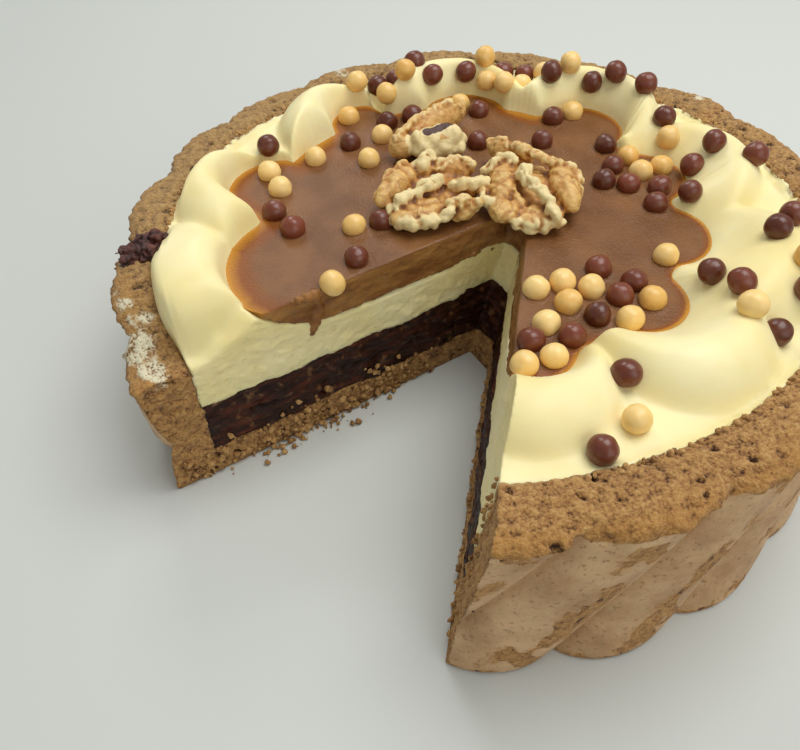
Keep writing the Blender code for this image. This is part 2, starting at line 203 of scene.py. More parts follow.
@dataclass(frozen=True)
class CakeForm:
    """The cake's driving sizes, and the surfaces that several layers share."""

    gap: float = 0.3
    rim_height: float = 64.5
    base_thickness: float = 11.0
    flutes: int = 19
    notch_radius: float = 105.8
    flute_depth: float = 4.7
    notch_angle: float = 200.2
    flute_twist: float = 19.5
    foot_flare: float = 2.4
    flare_height: float = 24.0
    inner: float = 97.0
    narrow_angle: float = 281.0
    narrow_depth: float = 5.0
    narrow_spread: float = 36.0
    swell_angle: float = 200.0
    swell_spread: float = 12.0
    swell_depth: float = 3.3
    swell_heights: tuple[float, float] = (2.0, 20.0)
    filling_top: float = 31.0
    caramel_floor: float = 47.5
    caramel_top: float = 58.0
    cream_shelf: float = 61.5
    slump_angle: float = 209.5
    rim_slump: float = 15.5
    slump_radius: float = 66.0
    slump_gain: float = 1.25
    slump_steps: tuple[tuple[float, float, float], ...] = ((0, 14, 5), (12, 22, 4), (28, 36, 4))
    end_dome_centre: tuple[float, float] = (-86.5, -18.5)
    end_dome_heading: float = 119.5
    end_dome_reach: tuple[float, float, float] = (16.0, 32.0, 18.0)
    end_dome_top: float = 68.0
    overlap: float = 3.4
    overlap_angle: float = 192.0
    overlap_spread: float = 8.0
    mound_foot: float = 50.0
    mound_fullness: float = 2.7
    mound_share: float = 0.95
    wall_rise: float = 17.0
    pool_centre: tuple[float, float] = (-5.0, 12.0)
    pool_radius: float = 66.0
    arm_rounding: float = 13.0
    basin_slope: float = 0.95
    crest_rounding: float = 4.5
    dollops: tuple[Dollop, ...] = (
        Dollop(188.0, 84.0, 12.0, 64.0, 189.0, 80.0, 26.0, 20.0, 2.0),
        Dollop(164.0, 82.0, 25.5, 72.0, 156.0, 89.0, 17.0, 12.0, 2.0),
        Dollop(125.5, 76.0, 26.5, 73.0, 118.0, 90.0, 13.0, 12.0, 1.8),
        Dollop(92.5, 73.0, 29.5, 74.5, 90.0, 86.5, 15.5, 14.0, 1.5),
        Dollop(56.0, 75.5, 30.0, 74.5, 56.0, 86.0, 16.0, 15.0, 1.5),
        Dollop(21.5, 71.0, 29.5, 73.0, 27.0, 76.0, 14.0, 22.0, 1.15),
        Dollop(344.0, 73.0, 30.0, 72.5, 358.0, 69.0, 14.5, 24.0, 1.1),
        Dollop(313.0, 69.5, 26.5, 72.5, 324.0, 64.0, 14.0, 20.0, 1.1),
        Dollop(274.0, 63.0, 26.5, 70.5, 279.0, 60.0, 13.0, 13.0, 1.15),
    )

    def inner_radius(self, angle: Array) -> Array:
        """Return the radius of the case's inner wall at these angles."""
        away = angle_from(angle, self.narrow_angle)
        return self.inner - self.narrow_depth * np.exp(-((away / self.narrow_spread) ** 2))

    def rim(self, angle: Array) -> Array:
        """Return the rim's height, which slumps beside the left cut.

        Args:
            angle: Angles about the axis.

        Returns:
            Heights.
        """
        angle = np.asarray(angle, float)
        before = self.slump_angle - angle % 360.0
        slump = np.where(before > -25.0, smooth_step(22.0, 6.0, before), 0.0)
        ripple = 0.7 * np.sin(np.radians(5 * angle)) + 0.4 * np.sin(np.radians(13 * angle))
        return self.rim_height + ripple - self.rim_slump * slump

    def swell(self, angle: Array, height: Array) -> Array:
        """Return how far the wall swells out to the left of the cut.

        Args:
            angle: Angles about the axis.
            height: Heights on the wall.

        Returns:
            Distances outwards.
        """
        bell = np.exp(-((angle_from(angle, self.swell_angle) / self.swell_spread) ** 2))
        return self.swell_depth * bell * smooth_step(*self.swell_heights, height)

    def twisted(self, angle: Array, height: Array) -> Array:
        """Follow a flute from its place at full height down to a lower height."""
        return angle - self.flute_twist * (1.0 - height / self.rim_height)

    def wall_height(self, beyond: Array, reach: float, fullness: float) -> Array:
        """Return the height of a wall that rises from the pool's edge.

        Args:
            beyond: Distance outside the edge, negative inside it.
            reach: Distance in which the wall comes to full height.
            fullness: How steeply the wall starts.

        Returns:
            Heights, those of the basin's floor where beyond is negative.
        """
        left = 1.0 - np.clip(beyond / reach, 0.0, 1.0)
        wall = self.caramel_top + self.wall_rise * (1.0 - left**fullness) ** (1.0 / fullness)
        basin = np.maximum(self.caramel_top + self.basin_slope * beyond, self.caramel_floor)
        return np.where(beyond <= 0.0, basin, wall)

    def slumped(self, height: Array, x: Array, y: Array) -> Array:
        """Lower the cream beside the left cut.

        Args:
            height: The cream's height before.
            x: Places across.
            y: Places away.

        Returns:
            Its height after.
        """
        before = self.slump_angle - degrees_of(x, y)
        sinking = smooth_step(18.0, 5.0, before) * (before > -25.0)
        beyond = np.hypot(x, y) - self.slump_radius - self.slump_gain * np.maximum(before, 0.0)
        level = self.caramel_top - 0.1
        for start, end, drop in self.slump_steps:
            level = level - drop * smooth_step(start, end, beyond)
        return height + (np.minimum(height, level) - height) * sinking

    def cream(self, x: Array, y: Array) -> Array:
        """Return the height of the cream's upper surface at these points.

        Args:
            x: Places across.
            y: Places away.

        Returns:
            Heights.
        """
        middle_beyond = np.hypot(x - self.pool_centre[0], y - self.pool_centre[1]) - self.pool_radius
        middle = self.wall_height(middle_beyond, self.arm_rounding, 2.0)
        height = np.minimum(self.cream_shelf, middle)
        for dollop in self.dollops:
            centre_x, centre_y = polar(dollop.mound_angle, dollop.mound_radius)
            size = dollop.mound_size * self.mound_share
            reach = np.minimum(np.hypot(x - centre_x, y - centre_y) / size, 1.0)
            full = self.mound_fullness
            dome = (dollop.crest - self.mound_foot) * (1.0 - reach**full) ** (1.0 / full)
            mound = np.where(reach < 1.0, self.mound_foot + dome, 0.0)
            height = np.maximum(height, np.minimum(mound, middle))
            along_x, along_y = polar(dollop.scoop_angle, 1.0)
            along = np.clip(x * along_x + y * along_y, 0.0, dollop.pool_edge - dollop.half_width)
            beyond = np.hypot(x - along * along_x, y - along * along_y) - dollop.half_width
            wall = self.wall_height(beyond, dollop.wall_reach, dollop.wall_fullness)
            if dollop is self.dollops[0]:
                end_wall = wall
            height = soft_lower(height, wall, self.crest_rounding)
        height = soft_lower(height, end_wall, self.crest_rounding)
        dome = soft_lower(self.end_dome(x, y), end_wall, self.crest_rounding)
        return np.maximum(self.slumped(height, x, y), dome)

    def end_dome(self, x: Array, y: Array) -> Array:
        """Return the height of the round dollop beside the left cut, and 0 outside it.

        Args:
            x: Places across.
            y: Places away.

        Returns:
            Heights.
        """
        back_x, back_y = polar(self.end_dome_heading, 1.0)
        off_x, off_y = x - self.end_dome_centre[0], y - self.end_dome_centre[1]
        behind = off_x * back_x + off_y * back_y
        aside = off_x * back_y - off_y * back_x
        front_reach, back_reach, side_reach = self.end_dome_reach
        along = np.where(behind > 0.0, behind / back_reach, -behind / front_reach)
        full = self.mound_fullness
        left = 1.0 - along**full - np.abs(aside / side_reach) ** full
        dome = self.mound_foot + (self.end_dome_top - self.mound_foot) * np.maximum(left, 0.0) ** (1.0 / full)
        return np.where(left > 0.0, dome, 0.0)

    def pool_edge(self, angle: Array) -> Array:
        """Return the radius where the cream first reaches the caramel's level.

        Args:
            angle: Angles about the axis.

        Returns:
            Radii.
        """
        radii = np.arange(30.0, 97.0, 0.25)
        x, y = polar(angle[:, None], radii[None, :])
        reached = self.cream(x, y) > self.caramel_top - self.gap
        reached |= radii[None, :] >= self.inner_radius(angle)[:, None] - 4.0
        before = self.slump_angle - angle
        sinks_at = self.slump_radius + self.slump_gain * np.maximum(before, 0.0)
        reached |= (radii[None, :] > sinks_at[:, None]) & (np.abs(before) < 11.0)[:, None]
        return radii[np.argmax(reached, axis=1)]

    def over_rim(self, angle: Array) -> Array:
        """Return how far the dollop beside the left cut bulges over the rim."""
        away = angle_from(angle, self.overlap_angle)
        return self.overlap * np.exp(-((away / self.overlap_spread) ** 4))

    def filling_seam(self, x: Array, y: Array) -> Array:
        """Return the wavy height where the filling meets the cream."""
        wave = np.sin(x / 9.0 + 1.3) * np.cos(y / 11.0) + 0.6 * np.sin(x / 4.1 + y / 5.3)
        return self.filling_top + 0.8 * wave

    def base_seam(self, x: Array, y: Array) -> Array:
        """Return the wavy height where the base meets the filling."""
        wave = np.sin(x / 6.0 + 0.4) * np.cos(y / 7.0 + 1.0) + 0.7 * np.sin(x / 2.9 - y / 3.7)
        return self.base_thickness + 0.7 * wave


def new_piece(name: str, vertices: Array, faces: list[Any]) -> Piece:
    """Make an object from millimetre vertices, with its faces turned outwards.

    Args:
        name: The piece's name.
        vertices: One row of x, y and z for each vertex.
        faces: Vertex indices of each face.

    Returns:
        The object, at the origin.
    """
    mesh = bpy.data.meshes.new(name)
    mesh.from_pydata((np.asarray(vertices) * MM).tolist(), [], faces)
    mesh.update()
    item = bpy.data.objects.new(name, mesh)
    bpy.context.scene.collection.objects.link(item)
    builder = bmesh.new()
    builder.from_mesh(mesh)
    bmesh.ops.recalc_face_normals(builder, faces=builder.faces)
    builder.to_mesh(mesh)
    builder.free()
    return item


def turned_shell(name: str, rows: list[tuple[Array, Array, Array]]) -> Piece:
    """Close a turned shape that starts and ends on the axis.

    Args:
        name: The piece's name.
        rows: Rings as (x, y, z) arrays; the first and the last are shrunk to a pole.

    Returns:
        The object. Its vertices are the poles, then the rings in order.
    """
    count = len(rows[1][0])
    poles = np.array([[row[axis][0] for axis in range(3)] for row in (rows[0], rows[-1])])
    rings = [np.stack(row, axis=1) for row in rows[1:-1]]
    vertices = np.vstack([poles, *rings])
    here = np.arange(count)
    ahead = (here + 1) % count
    faces = [(0, 2 + b, 2 + a) for a, b in zip(here, ahead)]
    for ring in range(len(rings) - 1):
        low = 2 + ring * count
        high = low + count
        quads = np.stack([low + here, low + ahead, high + ahead, high + here], axis=1)
        faces += [tuple(quad) for quad in quads.tolist()]
    last = 2 + (len(rings) - 1) * count
    faces += [(1, last + a, last + b) for a, b in zip(here, ahead)]
    return new_piece(name, vertices, [tuple(int(v) for v in face) for face in faces])


def new_points(name: str, points: Any, sizes: Any, turns: Any) -> Piece:
    """Make an object of loose points for the tree that puts a ball on each.

    Args:
        name: The piece's name.
        points: One row of x, y and z for each point, in millimetres.
        sizes: Scale of each ball along its axes.
        turns: Rotation of each ball.

    Returns:
        The object.
    """
    item = new_piece(name, np.array(points), [])
    for label, values in (("size", sizes), ("turn", turns)):
        layer = item.data.attributes.new(label, "FLOAT_VECTOR", "POINT")
        layer.data.foreach_set("vector", np.array(values, np.float32).ravel())
    return item


def coordinates(item: Piece) -> Array:
    """Return an object's vertices in millimetres, one row each.

    Args:
        item: The object.

    Returns:
        Rows of x, y and z.
    """
    flat = np.zeros(len(item.data.vertices) * 3, np.float32)
    item.data.vertices.foreach_get("co", flat)
    return flat.reshape(-1, 3).astype(float) / MM


def move_to(item: Piece, points: Array) -> None:
    """Move an object's vertices to these places, in millimetres."""
    item.data.vertices.foreach_set("co", (points * MM).astype(np.float32).ravel())
    item.data.update()


def mark(item: Piece, name: str, values: Any) -> None:
    """Store one number for each vertex, or the same one for all, as an attribute of that name."""
    values = np.broadcast_to(np.asarray(values, np.float32), len(item.data.vertices))
    item.data.attributes.new(name, "FLOAT", "POINT").data.foreach_set("value", values.copy())


def neighbour_mean(item: Piece, points: Array) -> Array:
    """Return, for each vertex, the mean of the points of the vertices it is joined to.

    Args:
        item: The object.
        points: One row for each vertex.

    Returns:
        The means.
    """
    ends = np.zeros(len(item.data.edges) * 2, np.int32)
    item.data.edges.foreach_get("vertices", ends)
    first, second = ends.reshape(-1, 2).T
    total = np.zeros_like(points)
    np.add.at(total, first, points[second])
    np.add.at(total, second, points[first])
    return total / np.maximum(np.bincount(ends, minlength=len(points)), 1)[:, None]


def ease(item: Piece, share: Array, rounds: int) -> None:
    """Round an object's sharp edges.

    Args:
        item: The object.
        share: How far each vertex takes part, from 0 to 1.
        rounds: How many times every vertex moves to the middle of its neighbours.
    """
    points = coordinates(item)
    for _ in range(rounds):
        points += 0.5 * share[:, None] * (neighbour_mean(item, points) - points)
    move_to(item, points)


def bake(item: Piece) -> None:
    """Replace an object's mesh by its evaluated one and drop its modifiers.

    Args:
        item: The object.
    """
    depsgraph = bpy.context.evaluated_depsgraph_get()
    mesh = bpy.data.meshes.new_from_object(item.evaluated_get(depsgraph))
    item.modifiers.clear()
    item.data = mesh


def run_tree(item: Piece, tree: Tree, values: dict[str, Any]) -> None:
    """Run a Geometry Nodes tree on an object and keep its result as the mesh.

    Args:
        item: The object.
        tree: The node group.
        values: Values of the group's named inputs.
    """
    modifier = item.modifiers.new(tree.name, "NODES")
    modifier.node_group = tree
    for socket in tree.interface.items_tree:
        if socket.in_out == "INPUT" and socket.name in values:
            modifier[socket.identifier] = values[socket.name]
    bake(item)


def finish_piece(item: Piece, slot: str, *nodes: str) -> Piece:
    """Shade a piece smooth, let it ride on the cake and stand for its solids.

    Args:
        item: The piece.
        slot: The record's material slot; not used.
        nodes: The solids that the piece replaces.

    Returns:
        The piece.
    """
    item.data.shade_smooth()
    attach(item, BODY)
    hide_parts(*nodes)
    LOG.info("%s: %d faces", item.name, len(item.data.polygons))
    return item


def new_tree(name: str, inputs: dict[str, Any]) -> tuple[Tree, Any, Any]:
    """Start a Geometry Nodes tree.

    Args:
        name: The tree's name.
        inputs: First values of its inputs, besides the geometry and the material.

    Returns:
        The tree, add_node bound to it, and the outputs of its input node.
    """
    tree = bpy.data.node_groups.new(name, "GeometryNodeTree")
    for way in ("INPUT", "OUTPUT"):
        tree.interface.new_socket("Geometry", in_out=way, socket_type="NodeSocketGeometry")
    for label, value in inputs.items():
        socket = tree.interface.new_socket(label, in_out="INPUT", socket_type=SOCKETS[type(value)])
        socket.default_value = value
    tree.interface.new_socket("Material", in_out="INPUT", socket_type="NodeSocketMaterial")
    add = partial(add_node, tree)
    return tree, add, add("NodeGroupInput").outputs


def end_tree(tree: Tree, geometry: Any, material: Any) -> Tree:
    """End a tree in Realize Instances and Set Material.

    Args:
        tree: The tree.
        geometry: What it has made.
        material: Its material input.

    Returns:
        The finished tree.
    """
    real = add_node(tree, "GeometryNodeRealizeInstances", Geometry=geometry)
    dressed = add_node(tree, "GeometryNodeSetMaterial", Geometry=real, Material=material)
    add_node(tree, "NodeGroupOutput", Geometry=dressed)
    return tree


@cache
def flute_tree() -> Tree:
    """Build the tree that pushes the plain turned wall out into leaning flutes.

    It reads the attributes flute (position counted in flutes) and share (how far a
    point takes part, from 0 at the inner wall to 1 at the outer one).

    Returns:
        The tree.
    """
    sizes = {"Depth": 0.0047, "Foot Flare": 0.0024, "Flare Height": 0.024, "Fullness": 0.7}
    tree, add, given = new_tree("flutes", sizes)
    turn = add(MATHS, add(STORED, Name="flute", **NUMBER), operation="FRACT")
    rest = add(MATHS, 1.0, turn, **MINUS)
    arch = add(MATHS, turn, rest, **TIMES)
    whole = add(MATHS, arch, 4.0, **TIMES)
    bulge = add(MATHS, whole, given["Fullness"], operation="POWER")
    parts = add("ShaderNodeSeparateXYZ", add("GeometryNodeInputPosition")).outputs
    reach = {"From_Max": given["Flare Height"], "To_Min": given["Foot Flare"], "To_Max": 0.0}
    flare = add(RANGE, Value=parts[2], **reach, **SOFT)
    depth = add(MATHS, given["Depth"], flare, **PLUS)
    push = add(MATHS, depth, bulge, **TIMES)
    shared = add(MATHS, push, add(STORED, Name="share", **NUMBER), **TIMES)
    flat = add("ShaderNodeCombineXYZ", parts[0], parts[1])
    outward = add(VECTORS, flat, operation="NORMALIZE")
    offset = add(VECTORS, outward, Scale=shared, **SCALED)
    moved = add(MOVED, Geometry=given["Geometry"], Offset=offset)
    return end_tree(tree, moved, given["Material"])


@cache
def relief_tree() -> Tree:
    """Build the tree that gives a surface its grain, lumps, pits, grooves and torn edges.

    The attribute relief says how much of it each point gets, and the attribute tear how
    far the point may slide. The tree leaves the attribute level, from 0 in the hollows
    to 1 on the crests, for the finish.

    Returns:
        The tree.
    """
    inputs = {f"{pattern} Scale": 200.0 for pattern in ("Grain", "Lump", "Pit", "Groove")}
    inputs |= {f"{pattern} Depth": 0.0 for pattern in ("Grain", "Lump", "Pit", "Groove")}
    inputs |= {"Pit Edge": 0.6, "Tear Scale": 220.0, "Tear Depth": 0.0022}
    inputs |= {"Stretch": (1.0, 1.0, 1.0), "Seed": 1.0}
    tree, add, given = new_tree("relief", inputs)
    amount = add(STORED, Name="relief", **NUMBER)
    sliding = add(STORED, Name="tear", **NUMBER)
    place = add("GeometryNodeInputPosition")
    drawn = add(VECTORS, place, given["Stretch"], **TIMES)
    seeded = {"Vector": drawn, "W": given["Seed"]}
    grain = add(NOISE, Scale=given["Grain Scale"], Detail=3.0, Roughness=0.62, **seeded, **SEEDED)
    rounded = {"voronoi_dimensions": "4D", "feature": "SMOOTH_F1", "Smoothness": 0.25}
    lumps = add(CELLS, Scale=given["Lump Scale"], **rounded, **seeded)
    cavities = add(NOISE, Scale=given["Pit Scale"], Detail=1.0, **seeded, **SEEDED)
    pit_end = add(MATHS, given["Pit Edge"], 0.1, **PLUS)
    pits = add(RANGE, Value=cavities, From_Min=given["Pit Edge"], From_Max=pit_end, **SOFT)
    seeded["Vector"] = place
    swirl = add(NOISE, Scale=given["Groove Scale"], Detail=1.0, **seeded, **SEEDED)
    wander = add(VECTORS, swirl.outputs[1], Scale=0.006, **SCALED)
    bent = add(VECTORS, drawn, wander, **PLUS)
    seams = add(CELLS, Vector=bent, Scale=given["Groove Scale"], feature="DISTANCE_TO_EDGE")
    grooves = add(RANGE, Value=seams, From_Max=0.16, To_Min=1.0, To_Max=0.0, **SOFT)
    total: Any = 0.0
    for pattern, middle, sign, label in (
        (grain, 0.5, 1.0, "Grain Depth"),
        (lumps, 0.45, -1.0, "Lump Depth"),
        (pits, 0.0, -1.0, "Pit Depth"),
        (grooves, 0.0, -1.0, "Groove Depth"),
    ):
        centred = add(MATHS, pattern, middle, **MINUS)
        signed = add(MATHS, centred, sign, **TIMES)
        total = add(MATHS, signed, given[label], total, **TIMES_PLUS)
    level = add(RANGE, Value=total, From_Min=-0.0009, From_Max=0.0007)
    share = add(MATHS, total, amount, **TIMES)
    raised = add(VECTORS, add("GeometryNodeInputNormal"), Scale=share, **SCALED)
    shreds = add(NOISE, Vector=place, Scale=given["Tear Scale"], Detail=3.0, Roughness=0.6)
    pull = add(VECTORS, shreds.outputs[1], (0.5, 0.5, 0.5), **MINUS)
    slide = add(MATHS, sliding, given["Tear Depth"], **TIMES)
    torn = add(VECTORS, pull, Scale=slide, **SCALED)
    offset = add(VECTORS, raised, torn, **PLUS)
    kept = {"Name": "level", "Value": level, "domain": "POINT"}
    marked = add("GeometryNodeStoreNamedAttribute", Geometry=given["Geometry"], **kept, **NUMBER)
    return end_tree(tree, add(MOVED, Geometry=marked, Offset=offset), given["Material"])


@cache
def scatter_tree() -> Tree:
    """Build the tree that puts a dented ball on each point.

    It reads the attributes size (scale of the ball along its axes) and turn (its
    rotation); the other attributes of a point ride along for the finish.

    Returns:
        The tree.
    """
    sizes = {"Radius": 0.001, "Subdivisions": 4, "Dent Scale": 200.0, "Dent Depth": 0.0002}
    tree, add, given = new_tree("balls on points", sizes)
    vector = {"data_type": "FLOAT_VECTOR"}
    ball = add("GeometryNodeMeshIcoSphere", given["Radius"], given["Subdivisions"])
    dents = add(NOISE, Scale=given["Dent Scale"], Detail=2.0)
    level = add(MATHS, dents, 0.5, **MINUS)
    depth = add(MATHS, level, given["Dent Depth"], **TIMES)
    offset = add(VECTORS, add("GeometryNodeInputNormal"), Scale=depth, **SCALED)
    laid = {
        "Instance": add(MOVED, Geometry=ball, Offset=offset),
        "Rotation": add(STORED, Name="turn", **vector),
        "Scale": add(STORED, Name="size", **vector),
    }
    spread = add("GeometryNodeInstanceOnPoints", Points=given["Geometry"], **laid)
    return end_tree(tree, spread, given["Material"])


@dataclass(frozen=True)
class Relief:
    """The relief of a surface: width and depth of each pattern, in millimetres."""

    grain: tuple[float, float] = (5.0, 0.0)
    lump: tuple[float, float] = (5.0, 0.0)
    pit: tuple[float, float] = (5.0, 0.0)
    groove: tuple[float, float] = (5.0, 0.0)
    pit_edge: float = 0.6
    stretch: tuple[float, float, float] = (1.0, 1.0, 1.0)
    seed: float = 1.0

    def carve(self, item: Piece, finish: Finish) -> None:
        """Give a piece this relief.

        Args:
            item: The piece.
            finish: The piece's material.
        """
        values = {"Pit Edge": self.pit_edge, "Stretch": self.stretch, "Seed": self.seed}
        for label in ("grain", "lump", "pit", "groove"):
            width, depth = getattr(self, label)
            values[f"{label.title()} Scale"] = per_metre(width)
            values[f"{label.title()} Depth"] = depth * MM
        run_tree(item, relief_tree(), {"Material": finish, **values})


@dataclass
class SliceCut:
    """The wedge that the missing slice leaves: an upright left cut, a leaning right one."""

    left_slope: float = 0.5667
    left_offset: float = 7.24
    left_facet_x: float = -1.4
    left_facet_lean: float = 0.21
    right_facet: tuple[float, float] = (4.0, -3.0)
    right_facet_lean: tuple[float, float] = (0.18, 0.188)
    right_angle: float = 258.0
    reach: float = 190.0

    def build(self) -> Piece:
        """Make the wedge.

        Returns:
            An object that the cut uses up.
        """
        builder = bmesh.new()
        left_way = polar(180.0 + math.degrees(math.atan(self.left_slope)), self.reach)
        right_way = polar(self.right_angle, self.reach)
        for height in (-10.0, 110.0):
            left_x = self.left_facet_x + self.left_facet_lean * height
            left = np.array((left_x, self.left_y(left_x)))
            right = np.array(self.right_facet) + np.array(self.right_facet_lean) * height
            for corner in (left, right, left + left_way, right + right_way):
                builder.verts.new((*corner, height))
        bmesh.ops.convex_hull(builder, input=builder.verts)
        bmesh.ops.scale(builder, vec=(MM, MM, MM), verts=builder.verts)
        bmesh.ops.recalc_face_normals(builder, faces=builder.faces)
        mesh = bpy.data.meshes.new("slice")
        builder.to_mesh(mesh)
        builder.free()
        wedge = bpy.data.objects.new("slice", mesh)
        bpy.context.scene.collection.objects.link(wedge)
        return wedge

    def left_y(self, x: Any) -> Any:
        """Return y on the left cut for these x."""
        return self.left_slope * x + self.left_offset

    def left_distance(self, points: Array) -> Array:
        """Return how far points lie behind the left cut's plane."""
        drop = points[:, 1] - self.left_slope * points[:, 0] - self.left_offset
        return drop / math.hypot(self.left_slope, 1.0)

    def cut(self, item: Piece, spacing: float) -> Array:
        """Take the slice out of a closed piece and give its cut faces a fine grid.

        Args:
            item: The piece.
            spacing: Width of the new faces on the cuts.

        Returns:
            For each vertex, 1 on a cut face and 0 elsewhere.
        """
        wedge = self.build()
        planes = []
        for face in wedge.data.polygons:
            if abs(face.normal.z) < 0.9 and face.center.length < 0.12:
                planes.append((wedge.data.vertices[face.vertices[0]].co.copy(), face.normal.copy()))
        difference = item.modifiers.new("slice", "BOOLEAN")
        difference.operation = "DIFFERENCE"
        difference.object = wedge
        difference.solver = "MANIFOLD"
        bake(item)
        bpy.data.objects.remove(wedge, do_unlink=True)
        distinct: list[tuple[Vector, Vector]] = []
        for point, normal in planes:
            if all(abs(normal.dot(other)) < 0.999999 for _, other in distinct):
                distinct.append((point, normal))
        builder = bmesh.new()
        builder.from_mesh(item.data)
        for point, normal in distinct:
            regrid(builder, point, normal, spacing * MM)
        bmesh.ops.triangulate(builder, faces=[face for face in builder.faces if len(face.verts) > 4])
        builder.to_mesh(item.data)
        builder.free()
        points = coordinates(item)
        on_cut = np.zeros(len(points))
        for point, normal in distinct:
            away = (points - np.array(point) / MM) @ np.array(normal)
            on_cut[np.abs(away) < 0.01] = 1.0
        return on_cut


def inside_outline(points: Array, starts: Array, ends: Array) -> Array:
    """Say which flat points lie inside an outline, by counting crossings.

    Args:
        points: One row of two coordinates for each point.
        starts: First end of each stretch of the outline.
        ends: Second end of each stretch.

    Returns:
        True for each point inside.
    """
    inside = np.zeros(len(points), bool)
    rise = ends[:, 1] - starts[:, 1]
    rise = np.where(rise == 0.0, 1e-12, rise)
    for first in range(0, len(points), 4000):
        u, v = points[first : first + 4000].T[:, :, None]
        spans = (starts[None, :, 1] > v) != (ends[None, :, 1] > v)
        share = (v - starts[None, :, 1]) / rise[None, :]
        crossing = starts[None, :, 0] + share * (ends - starts)[None, :, 0]
        inside[first : first + 4000] = np.sum(spans & (u < crossing), axis=1) % 2 == 1
    return inside


def flat_faces(builder: bmesh.types.BMesh, point: Vector, normal: Vector) -> list[bmesh.types.BMFace]:
    """Find the faces that lie in a plane.

    Args:
        builder: The mesh under construction.
        point: A point of the plane.
        normal: The plane's normal.

    Returns:
        The faces.
    """
    return [
        face
        for face in builder.faces
        if abs(face.normal.dot(normal)) > 0.999
        and all(abs((vertex.co - point).dot(normal)) < 3e-6 for vertex in face.verts)
    ]


def outline_edges(faces: list[bmesh.types.BMFace]) -> list[bmesh.types.BMEdge]:
    """Return the edges that only one of these faces has, in a fixed order.

    Args:
        faces: The faces.

    Returns:
        The edges.
    """
    uses: dict[bmesh.types.BMEdge, int] = {}
    for face in faces:
        for edge in face.edges:
            uses[edge] = uses.get(edge, 0) + 1
    return [edge for edge, count in uses.items() if count == 1]


def regrid(builder: bmesh.types.BMesh, point: Vector, normal: Vector, spacing: float) -> None:
    """Replace the flat faces in a plane by a fine grid of triangles inside the same outline.

    Args:
        builder: The mesh under construction, in metres.
        point: A point of the plane.
        normal: The plane's normal.
        spacing: Wanted length of the new edges.
    """
    flat = flat_faces(builder, point, normal)
    if not flat:
        return
    for edge in outline_edges(flat):
        for left in range(int(edge.calc_length() / spacing), 1, -1):
            bmesh.utils.edge_split(edge, edge.verts[0], 1.0 / left)
    rim = outline_edges(flat)
    outline = list(dict.fromkeys(vertex for edge in rim for vertex in edge.verts))
    index = {vertex: number for number, vertex in enumerate(outline)}
    across = normal.cross(Vector((0.0, 0.0, 1.0))).normalized()
    upward = across.cross(normal).normalized()
    offsets = [(vertex.co - point) / MM for vertex in outline]
    seen = np.array([(offset.dot(across), offset.dot(upward)) for offset in offsets])
    edges = np.array([(index[edge.verts[0]], index[edge.verts[1]]) for edge in rim])
    starts, ends = seen[edges[:, 0]], seen[edges[:, 1]]
    step = spacing / MM
    row_height = step * 0.866
    low, high = seen.min(axis=0), seen.max(axis=0)
    rows = np.arange(low[1] + 0.5 * row_height, high[1], row_height)
    columns = np.arange(low[0], high[0], step)
    shifts = np.arange(len(rows))[:, None] % 2 * 0.5 * step
    grid = np.stack([columns[None, :] + shifts, np.repeat(rows[:, None], len(columns), 1)], axis=2)
    grid = grid.reshape(-1, 2)
    grid = grid[inside_outline(grid, starts, ends)]
    tree = KDTree(len(seen))
    for number, (u, v) in enumerate(seen):
        tree.insert((u, v, 0.0), number)
    tree.balance()
    clear = [tree.find((u, v, 0.0))[2] > 0.6 * step for u, v in grid]
    flat_points = [Vector(pair) for pair in np.vstack([seen, grid[clear]])]
    found, _, triangles, sources, _, _ = delaunay_2d_cdt(flat_points, edges.tolist(), [], 0, 1e-6, True)
    corners = np.array([tuple(corner) for corner in found])
    triangles = np.array(triangles)
    kept = triangles[inside_outline(corners[triangles].mean(axis=1), starts, ends)]
    bmesh.ops.delete(builder, geom=flat, context="FACES_ONLY")
    made: dict[int, bmesh.types.BMVert] = {}
    for number, source in enumerate(sources):
        known = [original for original in source if original < len(outline)]
        if known:
            made[number] = outline[known[0]]
    for triangle in kept.tolist():
        for number in triangle:
            if number not in made:
                u, v = corners[number]
                made[number] = builder.verts.new(point + across * (u * MM) + upward * (v * MM))
        turned = [made[number] for number in triangle]
        if len(set(turned)) == 3:
            builder.faces.new(turned)
    loose_edges = [edge for edge in builder.edges if not edge.link_faces]
    bmesh.ops.delete(builder, geom=loose_edges, context="EDGES")
    loose = [vertex for vertex in builder.verts if not vertex.link_faces]
    bmesh.ops.delete(builder, geom=loose, context="VERTS")
    bmesh.ops.recalc_face_normals(builder, faces=builder.faces)


def new_finish(name: str) -> tuple[Finish, Any, bpy.types.NodeSocket]:
    """Start a material.

    Args:
        name: The material's name.

    Returns:
        The material, add_node bound to its tree, and the place of each point.
    """
    finish = bpy.data.materials.new(name)
    finish.use_nodes = True
    add = partial(add_node, finish.node_tree)
    return finish, add, add("ShaderNodeTexCoord").outputs["Object"]


